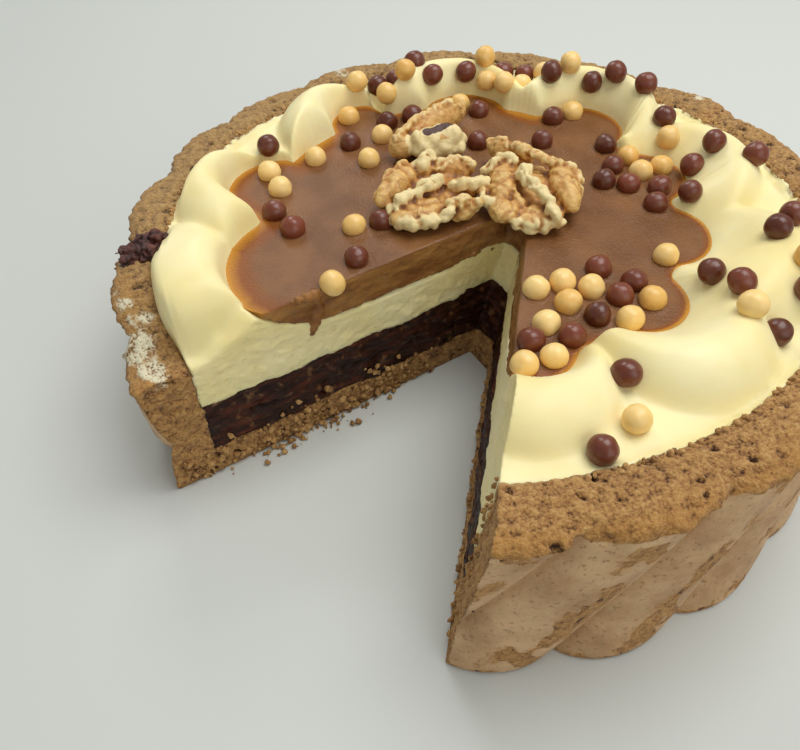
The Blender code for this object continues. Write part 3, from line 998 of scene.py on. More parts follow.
def dress(
    finish: Finish,
    colour: Any,
    height: Any,
    bump: tuple[Any, float],
    inner: tuple[float, tuple[float, float, float], float] | None = None,
    **values: Any,
) -> Finish:
    """Give a material its colour, its finest relief and its plain values.

    Args:
        finish: The material.
        colour: Node or socket with the colour.
        height: Node or socket with the height of the relief.
        bump: Strength of the relief and its height in millimetres.
        inner: Share of light that goes inside, its reach for each colour, and millimetres.
        values: Values of the shader's other inputs, with an underscore for a space.

    Returns:
        The material.
    """
    tree = finish.node_tree
    relief = add_node(tree, "ShaderNodeBump", Strength=bump[0], Distance=bump[1] * MM, Height=height)
    values |= {"Base_Color": colour, "Normal": relief}
    if inner:
        values |= {f"Subsurface_{name}": value for name, value in zip(("Weight", "Radius"), inner)}
        values["Subsurface_Scale"] = inner[2] * MM
    for name, value in values.items():
        feed(tree, tree.nodes["Principled BSDF"].inputs[name.replace("_", " ")], value)
    return finish


@dataclass(frozen=True)
class BakedSponge:
    """Spice sponge baked in a ring: torn brown crumb, and a pale skin dulled by flour.

    The crumb is dry and open, so it scatters light and shows no gloss; its colour follows its
    relief: painted light makes its tips golden and painted shade its holes dark, over its own
    uneven tone. The skin that lay against the tin is denser and paler.
    """

    # The darkest crumb colour is painted shade in the holes, the lightest painted light on the tips.
    crumb_hole_shade: str = "#4A2C12"
    crumb_brown: str = "#946637"
    crumb_mid: str = "#B88A4E"
    crumb_tip_light: str = "#DBAF70"
    skin_dark: str = "#AA835A"
    skin_light: str = "#D0AC80"
    speck: str = "#7C5A36"
    flour: str = "#A29C72"
    toast: str = "#C0873F"
    smear: str = "#F2EBCB"
    lump_mm: float = 1.5
    grain_mm: float = 0.75
    ragged_mm: float = 4.5
    patch_mm: float = 17.0
    speck_mm: float = 1.3

    def build(self) -> Finish:
        """Make the material, which reads the attributes crumb, level, toast, dust and smear; dust carries
        flour on the rim's tips together with painted sheen on the lit side.

        Returns:
            The material.
        """
        finish, add, place = new_finish("baked spice sponge")
        crumbly, level, toast, dust_and_sheen, smeary = (
            add(ATTRIBUTE, attribute_name=name).outputs["Fac"]
            for name in ("crumb", "level", "toast", "dust_and_sheen", "smear")
        )
        grain, ragged, patches, speckles = (
            add(NOISE, Vector=place, Scale=per_metre(size), Detail=6.0, Roughness=0.6)
            for size in (self.grain_mm, self.ragged_mm, self.patch_mm, self.speck_mm)
        )
        rounding = {"Detail": 1.0, "Smoothness": 0.3, "feature": "SMOOTH_F1"}
        lumps = add(CELLS, Vector=place, Scale=per_metre(self.lump_mm), **rounding)
        rounded = add(MATHS, lumps, -0.3, 0.16, **TIMES_PLUS)
        fine = add(MATHS, grain, 1.15, -0.575, **TIMES_PLUS)
        small = add(MATHS, rounded, fine, **PLUS)
        height = add(MATHS, level, 0.7, small, **TIMES_PLUS)
        # This ramp colours the crumb by relief height: its low end is painted shade in the holes, its high
        # end painted light on the tips, with the crumb's own grain tone between.
        outer = ((0.0, self.crumb_hole_shade), (0.72, self.crumb_tip_light))
        inner = ((0.12, self.crumb_brown), (0.34, self.crumb_mid))
        crumb = add(RAMP, height, stops=outer + inner)
        skin = add(RAMP, patches, stops=((0.36, self.skin_dark), (0.64, self.skin_light)))
        specks = add(RANGE, Value=speckles, From_Min=0.55, From_Max=0.68, To_Max=0.6, **SOFT)
        specked = add(MIX, Factor=specks, A=skin, B=self.speck, **COLOURS)
        haze = add(RANGE, Value=ragged, From_Min=0.5, From_Max=0.75, To_Max=0.22, **SOFT)
        floured = add(MIX, Factor=haze, A=specked, B=self.flour, **COLOURS)
        uneven_crumb, uneven_smear = (
            add(MATHS, ragged, 0.9, value, **TIMES_PLUS) for value in (crumbly, smeary)
        )
        bare = add(RANGE, Value=uneven_crumb, From_Min=0.88, From_Max=1.0, **SOFT)
        body = add(MIX, Factor=bare, A=floured, B=crumb, **COLOURS)
        golden = add(MATHS, toast, level, **TIMES)
        toasted = add(MIX, Factor=golden, A=body, B=self.toast, **COLOURS)
        # Flour colour on the crumb tips: real flouring, plus painted sheen on the rim's lit side.
        tips = add(RANGE, Value=height, From_Min=0.35, From_Max=0.85, To_Min=0.28, To_Max=0.8, **SOFT)
        dust_and_sheen_share = add(MATHS, tips, dust_and_sheen, **TIMES)
        dusted_and_sheened = add(MIX, Factor=dust_and_sheen_share, A=toasted, B=self.flour, **COLOURS)
        creamy = add(RANGE, Value=uneven_smear, From_Min=0.95, From_Max=1.1, To_Max=0.9, **SOFT)
        bridging = add(RANGE, Value=height, From_Min=0.06, From_Max=0.3, **SOFT)
        holed = add(MATHS, creamy, bridging, **TIMES)
        final = add(MIX, Factor=holed, A=dusted_and_sheened, B=self.smear, **COLOURS)
        strength = add(RANGE, Value=bare, To_Min=0.22, To_Max=1.0)
        dry = {"Roughness": 0.88, "Specular_IOR_Level": 0.25}
        velvet = {"Sheen_Weight": 0.1, "Sheen_Roughness": 0.6}
        return dress(finish, final, small, (strength, 0.8), **dry, **velvet)


@dataclass(frozen=True)
class CherryFilling:
    """Cooked cherry and chocolate filling, cut with a knife: dark, moist and smeared sideways.

    Wet streaks shine, and bits of crumb that the knife dragged along look dull.
    """

    dark: str = "#1A0B06"
    mid: str = "#35170B"
    red: str = "#602F1B"
    crumb: str = "#7E5836"
    smear_mm: float = 2.6
    crumb_mm: float = 3.2
    smear_stretch: tuple[float, float, float] = (0.25, 0.25, 1.2)

    def build(self) -> Finish:
        """Make the material.

        Returns:
            The material.
        """
        finish, add, place = new_finish("cherry filling")
        drawn = add(MAPPING, Vector=place, Scale=self.smear_stretch)
        streaks = add(NOISE, Vector=drawn, Scale=per_metre(self.smear_mm), Detail=6.0, Roughness=0.68)
        colour = add(RAMP, streaks, stops=((0.34, self.dark), (0.7, self.red), (0.52, self.mid)))
        bits = add(NOISE, Vector=place, Scale=per_metre(self.crumb_mm), Detail=5.0)
        share = add(RANGE, Value=bits, From_Min=0.57, From_Max=0.7, To_Max=0.75, **SOFT)
        mixed = add(MIX, Factor=share, A=colour, B=self.crumb, **COLOURS)
        wet = add(RANGE, Value=streaks, From_Min=0.3, From_Max=0.7, To_Min=0.28, To_Max=0.7)
        return dress(finish, mixed, streaks, (0.9, 0.9), Roughness=wet, Specular_IOR_Level=0.22)


@dataclass(frozen=True)
class VanillaCream:
    """Whipped vanilla cream, piped and scooped: pale yellow, soft light inside, satin skin.

    Where the knife went through, it is smeared sideways and shows small air holes, painted darker with
    cut_dark as shade.
    """

    light: str = "#FAEDB8"
    deep: str = "#F3E2A0"
    # cut_dark is painted shade inside the air holes of the cut face.
    cut_dark: str = "#DDCC8E"
    air_mm: float = 1.0
    cloud_mm: float = 30.0
    smear_stretch: tuple[float, float, float] = (0.3, 0.3, 1.0)

    def build(self) -> Finish:
        """Make the material, which reads the attribute cut.

        Returns:
            The material.
        """
        finish, add, place = new_finish("whipped vanilla cream")
        clouds = add(NOISE, Vector=place, Scale=per_metre(self.cloud_mm), Detail=3.0)
        colour = add(RAMP, clouds, stops=((0.35, self.deep), (0.6, self.light)))
        drawn = add(MAPPING, Vector=place, Scale=self.smear_stretch)
        air = add(NOISE, Vector=drawn, Scale=per_metre(self.air_mm), Detail=5.0, Roughness=0.65)
        cut = add(ATTRIBUTE, attribute_name="cut").outputs["Fac"]
        # Air holes on the cut face get painted shade (cut_dark).
        holes = add(RANGE, Value=air, From_Min=0.56, From_Max=0.7, To_Max=0.8, **SOFT)
        share = add(MATHS, holes, cut, **TIMES)
        body = add(MIX, Factor=share, A=colour, B=self.cut_dark, **COLOURS)
        strength = add(RANGE, Value=cut, To_Min=0.1, To_Max=0.6)
        milky = (0.3, (1.0, 0.75, 0.3), 3.0)
        return dress(finish, body, air, (strength, 0.6), milky, Roughness=0.42, Specular_IOR_Level=0.35)


@dataclass(frozen=True)
class SetCaramel:
    """Poured caramel that has set: opaque brown where deep, clear amber where it thins out.

    Its skin is finely wrinkled, which breaks up the shine like soft leather.
    """

    deep: str = "#714825"
    light: str = "#875B34"
    amber: str = "#87480F"
    honey: str = "#C88A22"
    cut: str = "#A3743E"
    cut_dark: str = "#7B4E26"
    film_mm: float = 5.0
    cloud_mm: float = 14.0
    smear_mm: float = 3.0
    leather_mm: float = 0.8
    smear_stretch: tuple[float, float, float] = (0.3, 0.3, 1.0)

    def build(self) -> Finish:
        """Make the material, which reads the attributes depth (in millimetres) and cut.

        Returns:
            The material.
        """
        finish, add, place = new_finish("set caramel")
        clouds = add(NOISE, Vector=place, Scale=per_metre(self.cloud_mm), Detail=5.0)
        body = add(RAMP, clouds, stops=((0.35, self.deep), (0.65, self.light)))
        depth = add(ATTRIBUTE, attribute_name="depth").outputs["Fac"]
        film = add(RANGE, Value=depth, From_Max=self.film_mm)
        edge = add(RAMP, film, stops=((0.0, self.honey), (0.36, self.amber)))
        opaque = add(RANGE, Value=film, From_Min=0.25, From_Max=0.9, **SOFT)
        top = add(MIX, Factor=opaque, A=edge, B=body, **COLOURS)
        drawn = add(MAPPING, Vector=place, Scale=self.smear_stretch)
        smears = add(NOISE, Vector=drawn, Scale=per_metre(self.smear_mm), Detail=5.0)
        sliced = add(RAMP, smears, stops=((0.35, self.cut_dark), (0.62, self.cut)))
        cut = add(ATTRIBUTE, attribute_name="cut").outputs["Fac"]
        whole = add(MIX, Factor=cut, A=top, B=sliced, **COLOURS)
        leather = add(NOISE, Vector=place, Scale=per_metre(self.leather_mm), Detail=4.0)
        return dress(finish, whole, leather, (0.75, 0.4), Roughness=0.34, Specular_IOR_Level=0.3)


@dataclass(frozen=True)
class Chocolate:
    """Tempered chocolate tumbled into pearls: soft waxy gloss and a faint dull bloom."""

    name: str
    dark: str
    light: str
    bloom: str
    roughness: float
    haze_mm: float = 3.0

    def build(self) -> Finish:
        """Make the material, which reads the attribute tint.

        Returns:
            The material.
        """
        finish, add, place = new_finish(self.name)
        tint = add(ATTRIBUTE, attribute_name="tint").outputs["Fac"]
        colour = add(MIX, Factor=tint, A=self.dark, B=self.light, **COLOURS)
        haze = add(NOISE, Vector=place, Scale=per_metre(self.haze_mm), Detail=5.0)
        share = add(RANGE, Value=haze, From_Min=0.5, From_Max=0.75, To_Max=0.3)
        dull = add(MIX, Factor=share, A=colour, B=self.bloom, **COLOURS)
        waxy = (0.06, (1.0, 0.6, 0.3), 1.5)
        return dress(finish, dull, haze, (0.3, 0.35), waxy, Roughness=self.roughness)


@dataclass(frozen=True)
class WalnutKernel:
    """Shelled walnut: papery tan skin with dark veins, painted shade in the folds and painted light on the
    ridges, ivory where it broke.
    """

    # The fold and ridge colours are painted shade in the folds and painted light on the ridges.
    fold_shade: str = "#70401B"
    skin: str = "#B97F38"
    ridge: str = "#E0B870"
    ivory: str = "#E9D49B"
    vein: str = "#7A4A22"
    scar: str = "#4E3226"
    mottle_mm: float = 2.0
    vein_mm: float = 6.0
    vein_wander: float = 0.008

    def build(self) -> Finish:
        """Make the material, which reads the attributes fold, flesh and scar; fold gives painted shade in the
        concave folds and painted light on the convex ridges.

        Returns:
            The material.
        """
        finish, add, place = new_finish("walnut kernel")
        mottle = add(NOISE, Vector=place, Scale=per_metre(self.mottle_mm), Detail=6.0, Roughness=0.65)
        shift = add(MATHS, mottle, 0.6, -0.3, **TIMES_PLUS)
        fold_shade, flesh, scar = (
            add(MATHS, add(ATTRIBUTE, attribute_name=name).outputs["Fac"], shift, **PLUS)
            for name in ("fold_shade", "flesh", "scar")
        )
        # Colour by bend: painted shade in the concave folds, the skin's tan between, painted light on the
        # convex ridges.
        skin = add(RAMP, fold_shade, stops=((0.1, self.fold_shade), (0.8, self.ridge), (0.42, self.skin)))
        swirl = add(NOISE, Vector=place, Scale=per_metre(self.vein_mm))
        wander = add(VECTORS, swirl.outputs[1], Scale=self.vein_wander, **SCALED)
        bent = add(VECTORS, place, wander, **PLUS)
        cells = add(CELLS, Vector=bent, Scale=per_metre(self.vein_mm), feature="DISTANCE_TO_EDGE")
        veins = add(RANGE, Value=cells, From_Max=0.03, To_Min=0.6, To_Max=0.0, **SOFT)
        veined = add(MIX, Factor=veins, A=skin, B=self.vein, **COLOURS)
        bare = add(RANGE, Value=flesh, From_Min=0.32, From_Max=0.68, **SOFT)
        pale = add(MIX, Factor=bare, A=veined, B=self.ivory, **COLOURS)
        worn = add(RANGE, Value=scar, From_Min=0.45, From_Max=0.6, **SOFT)
        final = add(MIX, Factor=worn, A=pale, B=self.scar, **COLOURS)
        oily = (0.1, (1.0, 0.6, 0.25), 1.5)
        return dress(finish, final, mottle, (0.55, 0.5), oily, Roughness=0.5)


@dataclass(frozen=True)
class CookedFruit:
    """A lump of cooked dark fruit: sticky, wet in places and nearly black red."""

    dark: str = "#25100B"
    red: str = "#6E3628"
    pulp_mm: float = 2.6

    def build(self) -> Finish:
        """Make the material.

        Returns:
            The material.
        """
        finish, add, place = new_finish("cooked fruit")
        pulp = add(NOISE, Vector=place, Scale=per_metre(self.pulp_mm), Detail=6.0, Roughness=0.7)
        colour = add(RAMP, pulp, stops=((0.36, self.dark), (0.66, self.red)))
        return dress(finish, colour, pulp, (0.9, 0.9), Roughness=0.45)


@dataclass
class SpongeCase:
    """The fluted wall and the base, in one closed piece.

    inner_drops: how far below the rim the rings of the inner wall lie.
    foot_rings: inset, height and share of the flutes for the rings under the foot.
    cream_smears: place, spread and strength of each smear of cream on the rim.
    """

    form: CakeForm
    slice_cut: SliceCut
    columns_per_flute: int = 46
    wall_rows: int = 56
    rim_rows: int = 26
    base_rings: int = 14
    rim_profile: tuple[tuple[float, float], ...] = (
        (0.0, -1.6), (0.3, 0.0), (0.75, 0.2), (0.95, -1.0), (1.0, -2.0),
    )
    shoulder: float = 3.0
    lip: float = 1.3
    foot_rounding: float = 1.5
    cut_spacing: float = 0.8
    # Direction the light comes from; the pale flour colour on the rim's tips grows towards it as painted
    # sheen.
    lit_angle: float = 118.0
    inner_drops: tuple[float, ...] = (20.0, 9.0, 5.0, 3.0)
    foot_rings: tuple[tuple[float, float, float], ...] = (
        (0.35, 0.6, 1.0), (1.2, 0.0, 1.0), (12.0, 0.0, 0.0),
    )
    wear_place: float = 0.62
    wear_spread: float = 0.3
    notch_spread: float = 0.045
    cream_smears: tuple[tuple[float, float, float, float, float], ...] = (
        (-98.7, -41.9, 50.0, 7.5, 0.75), (-102.8, -36.6, 52.0, 9.0, 0.75),
        (-95.4, -45.2, 49.0, 5.0, 0.7), (-106.1, -24.4, 60.0, 8.0, 0.62),
        (-101.2, -30.7, 58.0, 8.0, 0.62), (-108.0, -12.0, 63.0, 7.0, 0.6),
        (-64.8, 87.4, 65.0, 5.0, 0.7), (-46.1, 94.4, 65.0, 5.0, 0.7), (84.2, 67.3, 64.0, 5.0, 0.7),
    )
    crumb: Relief = Relief(grain=(2.4, 1.7), lump=(2.2, 0.8), pit=(4.0, 2.4), pit_edge=0.64, seed=3.0)

    def build(self, finish: Finish) -> Piece:
        """Make the case.

        Args:
            finish: The sponge.

        Returns:
            The piece.
        """
        form = self.form
        item = self.turn()
        fluted = {
            "Depth": form.flute_depth * MM,
            "Foot Flare": form.foot_flare * MM,
            "Flare Height": form.flare_height * MM,
            "Material": finish,
        }
        run_tree(item, flute_tree(), fluted)
        self.crumble_edge(item)
        self.mark_surfaces(item, self.slice_cut.cut(item, self.cut_spacing))
        self.crumb.carve(item, finish)
        return finish_piece(item, "sponge", "sponge_case")

    def turn(self) -> Piece:
        """Make the plain turned wall and base, marked for the flutes.

        Returns:
            The piece before its flutes.
        """
        form = self.form
        count = form.flutes * self.columns_per_flute
        flute = np.arange(count) / self.columns_per_flute
        rim_angle = form.notch_angle + flute * 360.0 / form.flutes
        top = form.rim(rim_angle)
        top = form.rim(form.twisted(rim_angle, top))
        crown = form.twisted(rim_angle, top)
        inside = form.inner_radius(crown)
        none = np.zeros(count)
        rows = [(none, none, np.full(count, form.base_thickness))]
        shares = []
        for part in np.linspace(0.1, 1.0, self.base_rings):
            x, y = polar(crown, part * inside)
            rows.append((x, y, form.base_seam(x, y)))
            shares.append(none)
        for drop in self.inner_drops:
            rows.append((*polar(crown, inside), top - drop))
            shares.append(none)
        places, rises = zip(*self.rim_profile)
        for across in np.linspace(0.0, 1.0, self.rim_rows):
            radius = inside + across * (form.notch_radius + form.swell(crown, top) - inside)
            rows.append((*polar(crown, radius), top + np.interp(across, places, rises)))
            shares.append(np.full(count, across))
        for part in np.linspace(0.0, 1.0, self.wall_rows):
            height = (top - self.shoulder) * (1.0 - part) + self.foot_rounding * part
            angle = form.twisted(rim_angle, height)
            rows.append((*polar(angle, form.notch_radius + form.swell(angle, height)), height))
            shares.append(np.ones(count))
        foot = form.twisted(rim_angle, none)
        for inset, height, share in self.foot_rings:
            rows.append((*polar(foot, np.full(count, form.notch_radius - inset)), np.full(count, height)))
            shares.append(np.full(count, share))
        rows.append((none, none, none))
        item = turned_shell("sponge_case_crumb", rows)
        mark(item, "flute", np.concatenate([[0.0, 0.0], np.tile(flute, len(shares))]))
        mark(item, "share", np.concatenate([[0.0, 0.0], *shares]))
        return item

    def crumble_edge(self, item: Piece) -> None:
        """Let the crumb stand out unevenly over the rim's outer edge.

        Args:
            item: The fluted case.
        """
        points = coordinates(item)
        x, y, z = points.T
        drop = self.form.rim(degrees_of(x, y)) - z
        band = np.exp(-(((drop - 2.2) / 1.5) ** 2)) * (np.hypot(x, y) > self.form.notch_radius - 2.0)
        uneven = 0.35 + 1.1 * cloud(points, 4.0, 7.0) + 0.9 * cloud(points, 2.0, 8.0)
        points[:, :2] *= 1.0 + (self.lip * band * uneven / np.maximum(np.hypot(x, y), 1.0))[:, None]
        move_to(item, points)

    def mark_surfaces(self, item: Piece, on_cut: Array) -> None:
        """Say where the crumb is bare, toasted, dusty with painted sheen towards the light, or smeared with
        cream.

        Args:
            item: The case.
            on_cut: 1 for each vertex on a cut face.
        """
        form = self.form
        points = coordinates(item)
        x, y, z = points.T
        angle = degrees_of(x, y)
        radius = np.hypot(x, y)
        top = form.rim(angle)
        inside = form.inner_radius(angle)
        reach = 3.2 + 2.2 * cloud(points, 7.0, 1.0)
        near_rim = smooth_step(reach + 1.0, reach - 0.3, top - z) * (radius > inside - 1.0)
        flute = (angle + form.flute_twist * (1.0 - z / form.rim_height) - form.notch_angle) % 360.0
        flute = (flute / 360.0 * form.flutes) % 1.0
        crest = np.exp(-(((flute - self.wear_place) / self.wear_spread) ** 2))
        notch = np.exp(-((np.minimum(flute, 1.0 - flute) / self.notch_spread) ** 2))
        patches = smooth_step(-0.2, 0.12, cloud(points, 9.0, 5.0) + 0.3 * cloud(points, 3.0, 6.0))
        foot = smooth_step(5.0, 1.0, z + 2.0 * cloud(points, 5.0, 9.0))
        worn = np.maximum(patches * crest, np.maximum(0.45 * notch, 0.7 * foot))
        worn = worn * (radius > form.notch_radius - 3.0) * (on_cut == 0.0)
        mark(item, "crumb", np.maximum(np.maximum(on_cut, near_rim), 0.85 * worn))
        outer = smooth_step(-1.0, 2.5, radius - form.notch_radius) * near_rim * (on_cut == 0.0)
        mark(item, "toast", np.maximum(0.8 * outer, np.maximum(0.25 * on_cut, 0.4 * worn)))
        # Pale flour colour on the rim's crumb tips, strongest towards lit_angle where the light falls: partly
        # real flouring, partly painted sheen on the lit side.
        lit = 0.5 + 0.5 * np.cos(np.radians(angle - self.lit_angle))
        behind_cut = smooth_step(0.0, 6.0, np.abs(self.slice_cut.left_distance(points)))
        mark(item, "dust_and_sheen", np.clip(lit**1.5, 0.0, 0.7) * near_rim * (on_cut == 0.0) * behind_cut)
        smear = np.zeros(len(points))
        for *centre, spread, amount in self.cream_smears:
            away = np.linalg.norm(points - np.array(centre), axis=1)
            smear = np.maximum(smear, amount * np.exp(-((away / spread) ** 2)))
        at_cream = smooth_step(3.2, 0.0, radius - inside) * near_rim * (on_cut == 0.0)
        mark(item, "smear", np.maximum(smear, 0.5 * at_cream))
        hidden = (radius < inside + 0.3) & (z < top - 3.0) & (on_cut == 0.0)
        relief = np.maximum(on_cut, 0.07 + 0.93 * near_rim)
        relief = np.maximum(relief, 0.3 * worn) * ~hidden * smooth_step(0.2, 1.5, z)
        mark(item, "relief", relief)
        mark(item, "tear", on_cut * smooth_step(0.5, 3.0, z))


@dataclass
class FillingLayer:
    """The dark layer between the base and the cream, which shows at the cuts."""

    form: CakeForm
    slice_cut: SliceCut
    columns: int = 300
    rings: int = 22
    overlap: float = 0.02
    cut_spacing: float = 0.75
    streaks: Relief = Relief(
        grain=(2.6, 3.0), lump=(4.0, 1.0), pit=(4.0, 1.6), stretch=(0.4, 0.4, 1.3), seed=8.0
    )

    def build(self, finish: Finish) -> Piece:
        """Make the layer.

        Args:
            finish: The filling.

        Returns:
            The piece.
        """
        form = self.form
        angle = np.arange(self.columns) * 360.0 / self.columns
        wall = form.inner_radius(angle) - self.overlap
        none = np.zeros(self.columns)
        shares = np.linspace(0.08, 1.0, self.rings)
        rows = [(none, none, np.full(self.columns, form.filling_top))]
        for share in shares:
            x, y = polar(angle, wall * share)
            rows.append((x, y, form.filling_seam(x, y) - self.overlap))
        for share in shares[::-1]:
            x, y = polar(angle, wall * share)
            rows.append((x, y, form.base_seam(x, y) + self.overlap))
        rows.append((none, none, np.full(self.columns, form.base_thickness)))
        item = turned_shell("cherry_filling", rows)
        on_cut = self.slice_cut.cut(item, self.cut_spacing)
        mark(item, "relief", on_cut)
        mark(item, "tear", on_cut)
        self.streaks.carve(item, finish)
        return finish_piece(item, "dark_filling", "filling")


@dataclass
class CreamLayer:
    """The cream with its ring of scooped dollops, which laps over the rim in places."""

    form: CakeForm
    slice_cut: SliceCut
    columns: int = 820
    bank_rows: int = 46
    lap: float = 0.8
    lap_patch: float = 3.5
    cut_middle: float = 238.0
    cut_spacing: float = 0.75
    gap: float = 0.02
    on_rim: float = 0.3
    floor_shares: tuple[float, ...] = (0.35, 0.6, 0.8, 0.92)
    lap_parts: tuple[float, ...] = (0.3, 0.6, 0.85, 0.96, 1.0)
    smears: Relief = Relief(
        grain=(3.4, 0.8), lump=(5.0, 0.3), pit=(2.4, 0.6), pit_edge=0.66, stretch=(0.5, 0.5, 1.0), seed=5.0
    )

    def build(self, finish: Finish) -> Piece:
        """Make the layer.

        Args:
            finish: The cream.

        Returns:
            The piece.
        """
        item = self.turn()
        on_cut = self.slice_cut.cut(item, self.cut_spacing)
        points = coordinates(item)
        from_left = self.slice_cut.left_distance(points)
        slumped = smooth_step(50.0, 66.0, np.hypot(points[:, 0], points[:, 1])) * (points[:, 0] < 0.0)
        below_top = self.form.cream(points[:, 0], points[:, 1]) - points[:, 2]
        rounding = 0.8 + 1.2 * slumped * (from_left < 8.0)
        at_edge = smooth_step(rounding + 1.0, rounding - 0.5, np.hypot(below_top, from_left))
        at_edge *= points[:, 2] > self.form.filling_top + 3.0
        ease(item, at_edge, 24)
        mark(item, "cut", on_cut * smooth_step(0.0, 2.5, below_top))
        mark(item, "relief", on_cut * (0.35 + 0.65 * smooth_step(1.0, 4.0, below_top)))
        mark(item, "tear", on_cut * smooth_step(2.0, 8.0, below_top))
        self.smears.carve(item, finish)
        return finish_piece(item, "vanilla_cream", "cream")

    def turn(self) -> Piece:
        """Make the whole layer before the slice is cut.

        Returns:
            The piece.
        """
        form = self.form
        angle = np.arange(self.columns) * 360.0 / self.columns
        edge = form.pool_edge(angle) - 3.0
        wall = form.inner_radius(angle) - self.gap
        radii = [edge * share for share in self.floor_shares]
        radii += [edge + share * (wall - edge) for share in np.linspace(0.0, 1.0, self.bank_rows)]
        radii = np.array(radii)
        x, y = polar(angle, radii)
        grid = form.cream(x, y)
        for _ in range(2):
            grid = 0.5 * grid + 0.25 * (np.roll(grid, 1, axis=1) + np.roll(grid, -1, axis=1))
            grid[5:-1] = 0.5 * grid[5:-1] + 0.25 * (grid[4:-2] + grid[6:])
        grid += 0.16 * np.sin(x / 5.0 + 0.8) * np.cos(y / 6.5) + 0.1 * np.sin(x / 2.2 - y / 3.1)
        lap, share, rim_foot = self.lapping(angle)
        bulging = form.over_rim(angle) / form.overlap
        calm = (1.0 - bulging) ** 3
        rise = smooth_step(2.4, 0.0, wall - radii) * share * calm
        grid += (rim_foot + self.on_rim - grid) * rise
        lap = lap * calm + form.over_rim(angle)
        none = np.zeros(self.columns)
        rows = [(none, none, np.full(self.columns, form.caramel_floor))]
        rows += list(zip(x, y, grid))
        for part in self.lap_parts:
            on_rim = rim_foot + np.minimum(0.57 * lap * part, 1.6) + self.on_rim - 0.5 * part * part
            height = on_rim * share + (grid[-1] - 0.1 * part) * (1.0 - share)
            rolled = on_rim + (grid[-1] - on_rim) * math.sqrt(1.0 - part * part)
            height = height + (np.maximum(rolled, on_rim) - height) * bulging
            rows.append((*polar(angle, wall + lap * part), height))
        for part in np.linspace(1.0, 0.1, 20):
            seam_x, seam_y = polar(angle, wall * part)
            rows.append((seam_x, seam_y, form.filling_seam(seam_x, seam_y)))
        rows.append((none, none, np.full(self.columns, form.filling_top)))
        return turned_shell("vanilla_cream", rows)

    def lapping(self, angle: Array) -> tuple[Array, Array, Array]:
        """Say how far the cream laps over the rim.

        Args:
            angle: Angles about the axis.

        Returns:
            Its reach, its share from 0 to 1, and the height of the rim's inner edge.
        """
        form = self.form
        x, y = polar(angle, form.inner_radius(angle))
        spots = np.stack([x, y, np.zeros(len(x))], axis=1)
        patchy = cloud(spots, self.lap_patch, 2.0) + 0.25 * cloud(spots, 0.4 * self.lap_patch, 3.0)
        covered = smooth_step(32.0, 46.0, np.abs(angle_from(angle, self.cut_middle)))
        lap = self.lap * smooth_step(-0.25, 0.5, patchy) * covered
        rim_foot = form.rim(angle) - 1.6
        share = covered * (0.55 + 0.45 * smooth_step(0.0, 0.7, lap))
        return np.maximum(lap, 0.04), share, rim_foot


